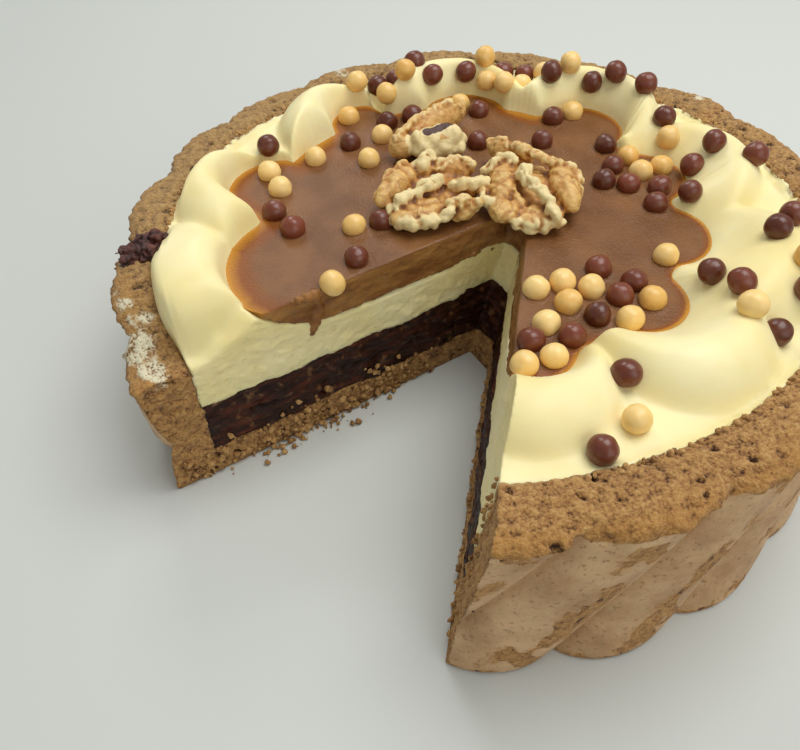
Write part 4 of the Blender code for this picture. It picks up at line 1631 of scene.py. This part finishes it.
@dataclass
class CaramelPool:
    """The caramel that was poured between the dollops; it climbs a little round the pearls.

    Towards thin_angle and at thin_spots it is thinner, so that it looks amber there.
    """

    form: CakeForm
    slice_cut: SliceCut
    columns: int = 560
    rows_across: int = 130
    climb: float = 0.6
    climb_reach: float = 0.9
    contact_radius: float = 3.6
    thin_angle: float = 185.0
    thin_spots: tuple[tuple[float, float], ...] = (
        (24.2, 72.4), (35.5, 73.0), (-44.0, 50.0), (-72.5, 14.0), (-72.0, -8.0), (-66.0, -22.0),
        (18.0, 71.0), (29.0, 70.5), (40.0, 68.0),
    )
    thin_depth: float = 0.45
    thin_spread: float = 90.0
    side_shares: tuple[float, ...] = (0.995, 0.97, 0.93, 0.86, 0.75, 0.6, 0.45, 0.3, 0.15)
    cut_spacing: float = 0.75
    smears: Relief = Relief(
        grain=(4.0, 1.5), lump=(6.0, 0.5), pit=(4.0, 0.6), stretch=(0.5, 0.5, 1.0), seed=6.0
    )

    def build(self, finish: Finish, pearls: list[tuple[float, float]]) -> Piece:
        """Make the pool.

        Args:
            finish: The caramel.
            pearls: Middle of each pearl that lies in it.

        Returns:
            The piece.
        """
        form = self.form
        item = self.turn(pearls)
        on_cut = self.slice_cut.cut(item, self.cut_spacing)
        points = coordinates(item)
        below = form.caramel_top - points[:, 2]
        depth = form.caramel_top - form.cream(points[:, 0], points[:, 1])
        away = np.radians(degrees_of(points[:, 0], points[:, 1]) - self.thin_angle)
        thinness = 1.1 - 0.6 * np.cos(away) + 0.45 * cloud(points, 16.0, 4.0)
        for spot in self.thin_spots:
            apart = np.hypot(*(points[:, :2] - np.array(spot)).T)
            thinness -= self.thin_depth * np.exp(-(apart**2) / self.thin_spread)
        mark(item, "depth", np.clip(depth * np.clip(thinness, 0.4, 2.0), 0.0, 20.0))
        ease(item, smooth_step(2.2, 0.6, np.hypot(below, on_cut - 1.0)), 8)
        mark(item, "cut", on_cut * smooth_step(-0.2, 1.0, below))
        mark(item, "relief", on_cut * (0.4 + 0.6 * smooth_step(0.5, 3.0, below)))
        mark(item, "tear", on_cut * smooth_step(1.0, 5.0, below))
        self.smears.carve(item, finish)
        return finish_piece(item, "caramel", "caramel")

    def turn(self, pearls: list[tuple[float, float]]) -> Piece:
        """Make the whole pool before the slice is cut.

        Args:
            pearls: Middle of each pearl that lies in it.

        Returns:
            The piece.
        """
        form = self.form
        angle = np.arange(self.columns) * 360.0 / self.columns
        edge = form.pool_edge(angle) + 0.6
        none = np.zeros(self.columns)
        rows = [(none, none, np.full(self.columns, form.caramel_top))]
        for share in np.sin(np.linspace(0.04, 1.0, self.rows_across) * math.pi / 2):
            x, y = polar(angle, edge * share)
            level = 0.12 * np.sin(x / 7.0 + 0.5) * np.sin(y / 9.0) + 0.05 * np.sin(x / 2.7 + y / 3.3)
            for centre_x, centre_y in pearls:
                beyond = np.abs(np.hypot(x - centre_x, y - centre_y) - self.contact_radius)
                level = level + self.climb * np.exp(-beyond / self.climb_reach)
            lip = 0.3 * smooth_step(2.0, 0.0, edge * (1.0 - share))
            rows.append((x, y, form.caramel_top + level + lip))
        for share in self.side_shares:
            x, y = polar(angle, edge * share)
            rows.append((x, y, np.minimum(form.cream(x, y) + 0.03, form.caramel_top - 0.12)))
        rows.append((none, none, np.full(self.columns, form.caramel_floor)))
        return turned_shell("caramel_pool", rows)


class Flavour(Enum):
    """What a pearl is made of."""

    MILK = "milk"
    GOLD = "gold"


@dataclass
class Pearls:
    """Chocolate pearls strewn on the cream and the caramel."""

    form: CakeForm
    radius: float = 3.85
    sink: float = 0.42
    sink_in_caramel: float = 0.62
    seed: int = 11
    milk_on_caramel: tuple[tuple[float, float], ...] = (
        (113.5, 72.5), (105.5, 73), (128, 68.5), (166.5, 68), (173.5, 60), (165, 33), (192.5, 40.5),
        (86, 72.5), (87, 51.5), (63.5, 56.5), (64.5, 73), (45, 66), (36, 57.5), (31.5, 49), (25, 54.5),
        (19.5, 62.5), (12.5, 57), (331, 36), (329.5, 47), (320, 46), (306.5, 46), (293, 48.5),
        (279.5, 46.5),
    )
    milk_on_cream: tuple[tuple[float, float], ...] = (
        (110.6, 90.5), (105.8, 92.5), (101, 92.5), (97.5, 86), (89, 88.5), (80, 92.5), (75, 92.5), (68, 84),
        (58.5, 88.5), (54, 92), (46, 90), (37, 83), (22, 76.5), (22.5, 84), (11, 67), (14, 90), (352.5, 87),
        (348, 82), (334, 90.5), (335, 66), (330, 74), (324.5, 87), (294, 69.5), (282, 87.5), (146, 84.5),
    )
    gold_on_caramel: tuple[tuple[float, float], ...] = (
        (121, 83), (118, 65.5), (129.5, 56), (140, 70.5), (151.5, 79), (156.5, 71), (170.5, 41),
        (203, 50.5), (91, 77.5), (60.5, 79), (36.5, 65.5), (27.5, 70.5), (28.5, 62.5), (346, 54),
        (295.5, 28), (311, 30.5), (302.5, 37.5), (317, 38), (324.5, 54), (312.5, 53), (288, 41.5),
        (284, 53.5), (275, 54.5),
    )
    gold_on_cream: tuple[tuple[float, float], ...] = (
        (115.5, 91.5), (111, 80), (105, 83.5), (84, 85.5), (84.5, 92.5), (79.5, 81.5), (75, 85), (70.5, 91),
        (64.5, 90.5), (32.5, 78.5), (340, 89), (323, 79), (290, 82),
    )

    def places(self) -> dict[Flavour, list[tuple[float, float, bool]]]:
        """Return angle, radius from the axis and whether a pearl lies on caramel.

        Returns:
            A list for each flavour, with the pearls on caramel first.
        """
        milk, gold = (self.milk_on_caramel, self.milk_on_cream), (self.gold_on_caramel, self.gold_on_cream)
        return {
            flavour: [(*spot, True) for spot in on_caramel] + [(*spot, False) for spot in on_cream]
            for flavour, (on_caramel, on_cream) in ((Flavour.MILK, milk), (Flavour.GOLD, gold))
        }

    def in_caramel(self) -> list[tuple[float, float]]:
        """Return x and y of the pearls that lie in the caramel."""
        spots = [spot for flavour in self.places().values() for spot in flavour if spot[2]]
        return [tuple(float(value) for value in polar(angle, radius)) for angle, radius, _ in spots]

    def build(self, finishes: dict[Flavour, Finish]) -> list[Piece]:
        """Make one piece for each flavour.

        Args:
            finishes: The chocolate of each flavour.

        Returns:
            The pieces.
        """
        pieces = []
        for flavour, spots in self.places().items():
            chance = np.random.default_rng(self.seed + len(spots))
            points, sizes, turns, tints = [], [], [], []
            for angle, radius, on_caramel in spots:
                x, y = polar(np.array([angle]), np.array([radius]))
                ground = self.form.caramel_top if on_caramel else float(self.form.cream(x, y)[0])
                sink = self.sink_in_caramel if on_caramel else self.sink
                points.append((x[0], y[0], ground + self.radius * (1.0 - sink)))
                sizes.append(1.0 + chance.uniform(-0.05, 0.05, 3))
                turns.append(chance.uniform(0.0, 6.28, 3))
                tints.append(chance.uniform(0.0, 1.0))
            item = new_points(f"chocolate_pearls_{flavour.value}", points, sizes, turns)
            mark(item, "tint", tints)
            round_pearls = {
                "Radius": self.radius * MM,
                "Subdivisions": 4,
                "Dent Scale": per_metre(4.5),
                "Dent Depth": 0.7 * MM,
                "Material": finishes[flavour],
            }
            run_tree(item, scatter_tree(), round_pearls)
            pieces.append(finish_piece(item, "caramel", "cream", "caramel"))
        return pieces


@dataclass
class Crumbs:
    """Sponge crumbs: some fell beside the cuts, some cling to both cuts and to the cream's edge.

    heaps: x, y, length and width of each heap of loose crumbs.
    """

    form: CakeForm
    slice_cut: SliceCut
    seed: int = 5
    loose_count: int = 130
    loose_reach: float = 104.0
    clinging_count: int = 170
    left_count: int = 320
    edge_count: int = 330
    heaps: tuple[tuple[float, float, float, float], ...] = (
        (-60.0, -27.0, 24.0, 3.0), (-38.0, -13.0, 18.0, 1.8), (-20.0, -104.0, 5.0, 2.5),
    )

    def build(self, finish: Finish) -> list[Piece]:
        """Make the loose and the clinging crumbs.

        Args:
            finish: The sponge.

        Returns:
            The pieces.
        """
        chance = np.random.default_rng(self.seed)
        loose = []
        for _ in range(self.loose_count):
            x, y, length, width = self.heaps[chance.choice(len(self.heaps), p=(0.55, 0.3, 0.15))]
            along, across = chance.normal(0.0, 0.5 * length), abs(chance.normal(0.0, width))
            size = chance.uniform(0.35, 1.0) ** 1.5
            spot = (x + along * 0.87 + across * 0.5, y + along * 0.5 - across * 0.87)
            if self.slice_cut.left_y(spot[0]) - spot[1] > size and np.hypot(*spot) < self.loose_reach:
                loose.append((*spot, size, size))
        clinging = []
        facet, lean = self.slice_cut.right_facet, self.slice_cut.right_facet_lean
        way = polar(self.slice_cut.right_angle, 1.0)
        for _ in range(self.clinging_count):
            size = chance.uniform(0.3, 1.0) ** 1.3
            on_wall = chance.uniform() < 0.4
            along = chance.uniform(94.0, 106.0) if on_wall else chance.uniform(8.0, 96.0)
            z = chance.uniform(2.0, 58.0) if on_wall else chance.uniform(1.0, 10.5)
            x, y = (facet[axis] + lean[axis] * z + along * way[axis] for axis in (0, 1))
            clinging.append((x - 0.3 * size, y, z, size))
        for _ in range(self.left_count):
            size = chance.uniform(0.4, 1.15) ** 1.2
            x = chance.uniform(-97.0, -16.0)
            z = min(abs(chance.normal(0.0, 1.0)) * 5.5, 19.0) + 0.9 * size
            clinging.append((x, self.slice_cut.left_y(x) - 0.3 * size, z, size))
        pieces = []
        kinds = {"loose_crumbs": loose, "clinging_crumbs": clinging, "edge_crumbs": self.on_edge(chance)}
        for name, spots in kinds.items():
            spots = np.array(spots)
            sizes = spots[:, 3:] * chance.uniform(0.7, 1.3, (len(spots), 3))
            item = new_points(name, spots[:, :3], sizes, chance.uniform(0.0, 6.28, (len(spots), 3)))
            mark(item, "crumb", 1.0)
            mark(item, "level", chance.uniform(0.3, 0.9, len(spots)))
            lumpy = {
                "Radius": 1.0 * MM,
                "Subdivisions": 2,
                "Dent Scale": per_metre(0.9),
                "Dent Depth": 1.6 * MM,
                "Material": finish,
            }
            run_tree(item, scatter_tree(), lumpy)
            pieces.append(finish_piece(item, "sponge", "sponge_case"))
        return pieces

    def on_edge(self, chance: np.random.Generator) -> list[tuple[float, float, float, float]]:
        """Return place and size of the crumbs where the cream meets the rim.

        Args:
            chance: The random draws.

        Returns:
            Rows of x, y, z and size.
        """
        angle = chance.uniform(272.0, 272.0 + 290.0, self.edge_count)
        inside = self.form.inner_radius(angle)
        outward = 0.3 + np.abs(chance.normal(0.0, 0.9, self.edge_count))
        x, y = polar(angle, inside + outward + 1.2 * self.form.over_rim(angle))
        rim_foot = self.form.rim(angle) - 1.5
        size = chance.uniform(0.35, 0.95, self.edge_count) ** 1.2
        return list(zip(x, y, rim_foot + 0.45 * size, size))


@dataclass(frozen=True)
class Lobe:
    """One rounded blob of a melted-together piece."""

    centre: tuple[float, float, float]
    radii: tuple[float, float, float]
    heading: float = 0.0


@dataclass(frozen=True)
class Crest:
    """A knobbly ridge that runs along a path; pale says how much of its skin is gone."""

    path: tuple[tuple[float, float, float], ...]
    radius: float
    pale: float = 0.0

    def balls(self, seed: int) -> list[Lobe]:
        """Return the blobs along the path, unevenly thick by a fixed seed.

        Args:
            seed: The seed.

        Returns:
            The blobs.
        """
        chance = np.random.default_rng(seed)
        corners = np.array(self.path)
        steps = np.linalg.norm(np.diff(corners, axis=0), axis=1)
        places = np.concatenate([[0.0], np.cumsum(steps)])
        found = []
        for place in np.arange(0.0, places[-1] + 0.01, 0.5 * self.radius):
            spot = [np.interp(place, places, corners[:, axis]) for axis in range(3)]
            spot = np.array(spot) + chance.uniform(-0.3, 0.3, 3) * self.radius
            radii = self.radius * chance.uniform(0.6, 1.2, 3)
            found.append(Lobe(tuple(spot), tuple(radii)))
        return found


def melted(name: str, blobs: list[Lobe], voxel: float, softening: int) -> Piece:
    """Melt blobs together into one closed piece.

    Args:
        name: The piece's name.
        blobs: The blobs.
        voxel: Width of the new faces.
        softening: How many times the surface is smoothed.

    Returns:
        The piece.
    """
    builder = bmesh.new()
    for blob in blobs:
        placing = Matrix.Translation(Vector(blob.centre) * MM)
        placing = placing @ Matrix.Rotation(math.radians(blob.heading), 4, "Z")
        placing = placing @ Matrix.Diagonal((*(Vector(blob.radii) * MM), 1.0))
        bmesh.ops.create_icosphere(builder, subdivisions=3, radius=1.0, matrix=placing)
    mesh = bpy.data.meshes.new(name)
    builder.to_mesh(mesh)
    builder.free()
    item = bpy.data.objects.new(name, mesh)
    bpy.context.scene.collection.objects.link(item)
    melt = item.modifiers.new("melt", "REMESH")
    melt.mode = "VOXEL"
    melt.voxel_size = voxel * MM
    soften = item.modifiers.new("soften", "SMOOTH")
    soften.factor = 0.5
    soften.iterations = softening
    bake(item)
    mark(item, "relief", 1.0)
    return item


@dataclass
class WalnutHalf:
    """A walnut half, melted together from lobes and crests and wrinkled."""

    name: str
    node: str
    lobes: tuple[Lobe, ...]
    crests: tuple[Crest, ...]
    scar: tuple[tuple[float, float, float], ...] = ()
    groove: float = 0.45
    voxel: float = 0.42

    def build(self, finish: Finish) -> Piece:
        """Make the half.

        Args:
            finish: The kernel.

        Returns:
            The piece.
        """
        blobs = list(self.lobes)
        for seed, crest in enumerate(self.crests):
            blobs += crest.balls(seed)
        item = melted(self.name, blobs, self.voxel, 6)
        wrinkles = Relief(grain=(3.4, 1.4), lump=(3.4, 0.4), groove=(9.0, self.groove), seed=2.0)
        wrinkles.carve(item, finish)
        self.mark_skin(item)
        return finish_piece(item, "walnut", self.node)

    def mark_skin(self, item: Piece) -> None:
        """Say how far the kernel is bent in or out, which sets painted shade in its folds and painted light
        on its ridges, where its ivory flesh shows and where it is scarred.

        Args:
            item: The wrinkled half.
        """
        points = coordinates(item)
        smooth = points
        for _ in range(16):
            smooth = neighbour_mean(item, smooth)
        normals = np.zeros(len(points) * 3, np.float32)
        item.data.vertices.foreach_get("normal", normals)
        bulge = np.sum((points - smooth) * normals.reshape(-1, 3), axis=1)
        # How far each point is bent in or out; the finish turns it into painted shade in the folds and
        # painted light on the ridges.
        mark(item, "fold_shade", np.clip(0.54 + bulge / 1.15, 0.0, 1.0))
        flesh = np.zeros(len(points))
        for seed, crest in enumerate(self.crests):
            for ball in crest.balls(seed) if crest.pale else ():
                away = np.linalg.norm(points - np.array(ball.centre), axis=1)
                flesh = np.maximum(flesh, crest.pale * smooth_step(1.45, 0.9, away / crest.radius))
        mark(item, "flesh", flesh * np.clip(0.75 + bulge, 0.0, 1.0))
        scar = np.zeros(len(points))
        for spot in self.scar:
            away = np.linalg.norm(points - np.array(spot), axis=1)
            scar = np.maximum(scar, smooth_step(2.8, 1.2, away))
        mark(item, "scar", scar)


@dataclass
class FruitLump:
    """The dark lump of fruit that sticks to the rim."""

    angle: float = 184.0
    radius: float = 103.0
    height: float = 64.0
    voxel: float = 0.38
    lobes: tuple[Lobe, ...] = (
        Lobe((0, 0, 0), (6, 5.6, 2.7)),
        Lobe((3.6, 4.4, 0.8), (3.6, 3.4, 2.7), 30),
        Lobe((-0.6, 3.2, 1.2), (3, 2.2, 2.2), 60),
        Lobe((1.6, -2.6, 1), (3.4, 2, 2.2), 150),
        Lobe((-3.4, -4.4, 0.2), (3.2, 2.6, 2.3), 20),
        Lobe((-4.4, -0.6, 0.5), (2.6, 2.6, 2)),
        Lobe((-6.6, -1, 0.3), (1.9, 0.6, 0.6), 20),
    )
    pulp: Relief = Relief(grain=(2.4, 2.4), pit=(3.0, 1.2), groove=(4.5, 0.8), pit_edge=0.56, seed=4.0)

    def build(self, finish: Finish) -> Piece:
        """Make the lump.

        Args:
            finish: The fruit.

        Returns:
            The piece.
        """
        place = np.array((*polar(self.angle, self.radius), self.height))
        blobs = [Lobe(tuple(place + lobe.centre), lobe.radii, lobe.heading) for lobe in self.lobes]
        item = melted("fruit_lump", blobs, self.voxel, 1)
        self.pulp.carve(item, finish)
        return finish_piece(item, "dark_filling", "sponge_case")


@dataclass
class CaramelDrips:
    """Torn bits of caramel that hang over the cream at the left cut."""

    slice_cut: SliceCut
    voxel: float = 0.35
    depth: float = 2.6
    cut_share: float = 0.7
    flatness: float = 0.8
    behind: float = 0.3
    blobs: tuple[tuple[float, float, float], ...] = (
        (-56.5, 57.3, 1.3), (-54.2, 57.0, 1.7), (-52.0, 56.6, 2.0), (-50.0, 56.9, 1.6),
        (-51.6, 55.0, 1.5), (-51.0, 53.4, 1.1), (-51.5, 51.2, 2.2), (-52.3, 48.8, 2.3),
        (-53.0, 46.4, 2.1), (-53.7, 44.2, 1.6), (-54.2, 42.6, 1.1), (-46.5, 57.2, 1.2),
    )
    torn: Relief = Relief(grain=(2.4, 0.8), seed=7.0)

    def build(self, finish: Finish) -> Piece:
        """Make the bits, each given as x, height and radius.

        Args:
            finish: The caramel.

        Returns:
            The piece.
        """
        lobes = []
        for x, height, radius in self.blobs:
            y = self.slice_cut.left_y(x) + self.behind * radius
            lobes.append(Lobe((x, y, height), (radius, self.flatness * radius, radius)))
        item = melted("caramel_drips", lobes, self.voxel, 1)
        mark(item, "depth", self.depth)
        mark(item, "cut", self.cut_share)
        self.torn.carve(item, finish)
        return finish_piece(item, "caramel", "caramel")


@dataclass
class Studio:
    """The pale floor, the soft lights and the camera."""

    camera_place: tuple[float, float, float] = (-0.0288, -0.1905, 0.2114)
    focal_mm: float = 779.7 / 800 * 36.0
    shift: tuple[float, float] = (3.3 / 800, -0.1 / 800)
    camera_right: tuple[float, float, float] = (0.99930, -0.02812, -0.02484)
    camera_up: tuple[float, float, float] = (0.03752, 0.74899, 0.66152)
    camera_back: tuple[float, float, float] = (0.0, -0.66198, 0.74952)
    floor_half: float = 3000.0
    floor_drop: float = 0.05
    room_light: float = 0.38
    lights: tuple[tuple[str, tuple[float, float, float], float, float], ...] = (
        ("back_window", (-0.26, 1.06, 0.94), 0.45, 3.5),
        ("ceiling", (0.24, 0.12, 0.8), 0.55, 4.6),
        ("front_fill", (0.7, -1.0, 0.7), 1.0, 4.0),
    )

    def build(self) -> None:
        """Make the stage."""
        self.make_floor()
        self.make_lights()
        self.make_camera()

    def make_floor(self) -> None:
        """Lay a wide pale floor under the cake."""
        corners = [(x, y, 0.0) for x, y in ((-1.0, -1.0), (1.0, -1.0), (1.0, 1.0), (-1.0, 1.0))]
        places = np.array(corners) * self.floor_half - np.array((0.0, 0.0, self.floor_drop))
        floor = new_piece("floor", places, [(0, 1, 2, 3)])
        finish = bpy.data.materials.new("matt paper")
        finish.use_nodes = True
        shader = finish.node_tree.nodes["Principled BSDF"]
        shader.inputs["Base Color"].default_value = linear("#CED1CB")
        shader.inputs["Roughness"].default_value = 0.7
        floor.data.materials.append(finish)

    def make_lights(self) -> None:
        """Set a window behind, a large soft light above and a weak one in front."""
        for name, place, size, power in self.lights:
            light = bpy.data.lights.new(name, "AREA")
            light.size = size
            light.energy = power
            lamp = bpy.data.objects.new(name, light)
            lamp.location = place
            lamp.rotation_euler = (-Vector(place)).to_track_quat("-Z", "Y").to_euler()
            bpy.context.scene.collection.objects.link(lamp)
        world = bpy.data.worlds.new("soft room")
        world.use_nodes = True
        background = world.node_tree.nodes["Background"]
        background.inputs["Color"].default_value = linear("#F4F6F4")
        background.inputs["Strength"].default_value = self.room_light
        bpy.context.scene.world = world

    def make_camera(self) -> None:
        """Place the camera at the viewing angle."""
        lens = bpy.data.cameras.new("camera")
        lens.sensor_fit = "HORIZONTAL"
        lens.sensor_width = 36.0
        lens.lens = self.focal_mm
        lens.shift_x, lens.shift_y = self.shift
        camera = bpy.data.objects.new("camera", lens)
        turned = Matrix((self.camera_right, self.camera_up, self.camera_back)).transposed().to_4x4()
        camera.matrix_world = Matrix.Translation(self.camera_place) @ turned
        bpy.context.scene.collection.objects.link(camera)
        bpy.context.scene.camera = camera
        bpy.context.scene.view_settings.view_transform = "Standard"


def walnut_halves() -> tuple[WalnutHalf, ...]:
    """Return the three walnut halves with their lobes and crests.

    Returns:
        Left, right and back.
    """
    left = WalnutHalf(
        "walnut_half_left",
        "walnut_left",
        (
            Lobe((-15, 20, 61.4), (15.5, 12, 3.4), 20),
            Lobe((-26.6, 21, 63.6), (11.6, 4.8, 5), 55),
            Lobe((-18, 28.5, 64.2), (4.8, 4, 4.4), 20),
            Lobe((-7.5, 29.5, 63.6), (7, 4.4, 4), 170),
            Lobe((-19.5, 9, 62), (10.5, 6, 3.2), 20),
            Lobe((-5.3, 19, 63.4), (6.8, 3.8, 3.6), 8),
            Lobe((-7, 10, 62), (5, 4.6, 4), 0),
        ),
        (
            Crest(((-28.7, 9.6, 62), (-26, 10.7, 65), (-19.3, 14.1, 67), (-13.5, 17.5, 67.5)), 2.2, 0.85),
            Crest(((-8.2, 17, 66), (-3.5, 16.5, 66.5), (2, 19.4, 65.5)), 2.2, 0.8),
            Crest((
                (-28.4, 9.1, 60.8), (-24.5, 4, 61.2), (-18.3, 3.3, 62.2), (-12.1, 4.9, 63.4), (-10, 5.1, 65),
            ), 2.4, 0.8),
            Crest(((-8.8, 8.4, 65), (-4.1, 9.4, 64.6), (-2.4, 8.9, 63)), 2.9, 0.5),
            Crest(((-19.4, 26.9, 66.5), (-16, 29.5, 67.5), (-15, 32, 66.5)), 2.4, 0.95),
            Crest(((-13.5, 27.3, 66), (-8.2, 30.4, 67.2), (-2.6, 28.2, 66)), 1.9, 0.55),
            Crest(((-31.5, 14, 64), (-29.5, 22.5, 67), (-23.5, 29, 67.5)), 1.3, 0.3),
        ),
    )
    right = WalnutHalf(
        "walnut_half_right",
        "walnut_right",
        (
            Lobe((16.5, 18, 61.4), (12.5, 15, 3.4), 0),
            Lobe((11.8, 36.5, 63.8), (8.6, 3.6, 4), 329),
            Lobe((8, 20, 63.6), (11, 5.4, 5.4), 78),
            Lobe((6.8, 7, 62.4), (5.4, 4.8, 3.6), 20),
            Lobe((26.6, 16.6, 63.6), (12, 5, 5.2), 94),
            Lobe((17, 5, 61.8), (8.5, 5.4, 3.2), 4),
        ),
        (
            Crest((
                (5.3, 41.9, 65), (10.1, 38.4, 67), (15.5, 31.5, 68), (21.3, 27, 68), (25.5, 24.5, 67.5),
            ), 2.1, 0.45),
            Crest(((2.7, 24.1, 66), (6.9, 27, 68.4), (11.8, 25.8, 68.6)), 2.2, 0.7),
            Crest(((0.6, 21, 65), (0.4, 16, 64), (1.6, 12, 63)), 1.8, 0.5),
            Crest(((1.4, 12.3, 63.2), (4.1, 9, 62.3), (7, 8.1, 61.5), (9.2, 6, 61.3)), 2.5, 0.8),
            Crest((
                (14.9, 21, 67.6), (12.8, 16.8, 68.6), (14.6, 12, 69), (17.4, 9.5, 68.4), (19.6, 4.6, 67),
                (21.8, 0.6, 64.6),
            ), 2.3, 0.85),
            Crest(((28.3, 23.6, 67), (31.3, 19.9, 65.6), (30.6, 14.7, 63.6), (27.8, 10.2, 62)), 2.0, 0.55),
            Crest(((9.4, 2.6, 61.2), (12.8, 0.6, 60.8), (18.3, 0.6, 61.5), (23.4, 1.2, 62)), 2.2, 0.75),
            Crest(((9.5, 17, 66.5), (11, 10, 64.5), (13.5, 5.5, 63)), 1.4, 0.0),
        ),
    )
    back = WalnutHalf(
        "walnut_half_back",
        "walnut_back",
        (
            Lobe((-12.5, 57.5, 63.6), (16, 5.2, 5.6), 41),
            Lobe((-11, 45.8, 63.8), (9.6, 4.8, 5), 8),
            Lobe((-24, 45.5, 62.8), (5.2, 4.8, 4.4), 60),
        ),
        (
            Crest(((-26.4, 44.5, 66.5), (-18.6, 53, 68.4), (-7, 63, 68.6)), 1.5, 0.5),
            Crest(((-20, 51, 66.5), (-12, 57.5, 67.4), (-4, 63, 67)), 1.6, 0.0),
            Crest(((-18.4, 44.6, 65), (-11, 46.6, 66), (-4, 47.4, 65)), 3.4, 1.6),
            Crest(((-17.5, 42.5, 62.5), (-11, 43, 62.5), (-4.5, 44.5, 62.5)), 3.2, 1.6),
        ),
        (
            (-15.2, 45, 68.6), (-13.4, 45.4, 69), (-11.5, 46, 69.2),
            (-9.6, 47, 69.2), (-8.2, 48.4, 69),
        ),
        0.1,
    )
    return left, right, back


def main() -> None:
    """Build every piece and the stage."""
    logging.basicConfig(level=logging.INFO, format="%(message)s")
    slice_cut = SliceCut()
    sponge = BakedSponge().build()
    caramel = SetCaramel().build()
    kernel = WalnutKernel().build()
    form = CakeForm()
    pearls = Pearls(form)
    chocolates = {
        Flavour.MILK: Chocolate("milk chocolate", "#5A2A18", "#7C3E28", "#906A56", 0.3).build(),
        Flavour.GOLD: Chocolate("caramel chocolate", "#E6B45E", "#FAD68A", "#FBE8B0", 0.36).build(),
    }
    SpongeCase(form, slice_cut).build(sponge)
    FillingLayer(form, slice_cut).build(CherryFilling().build())
    CreamLayer(form, slice_cut).build(VanillaCream().build())
    CaramelPool(form, slice_cut).build(caramel, pearls.in_caramel())
    CaramelDrips(slice_cut).build(caramel)
    pearls.build(chocolates)
    Crumbs(form, slice_cut).build(sponge)
    for half in walnut_halves():
        half.build(kernel)
    FruitLump().build(CookedFruit().build())
    Studio().build()


if __name__ == "__main__":
    main()
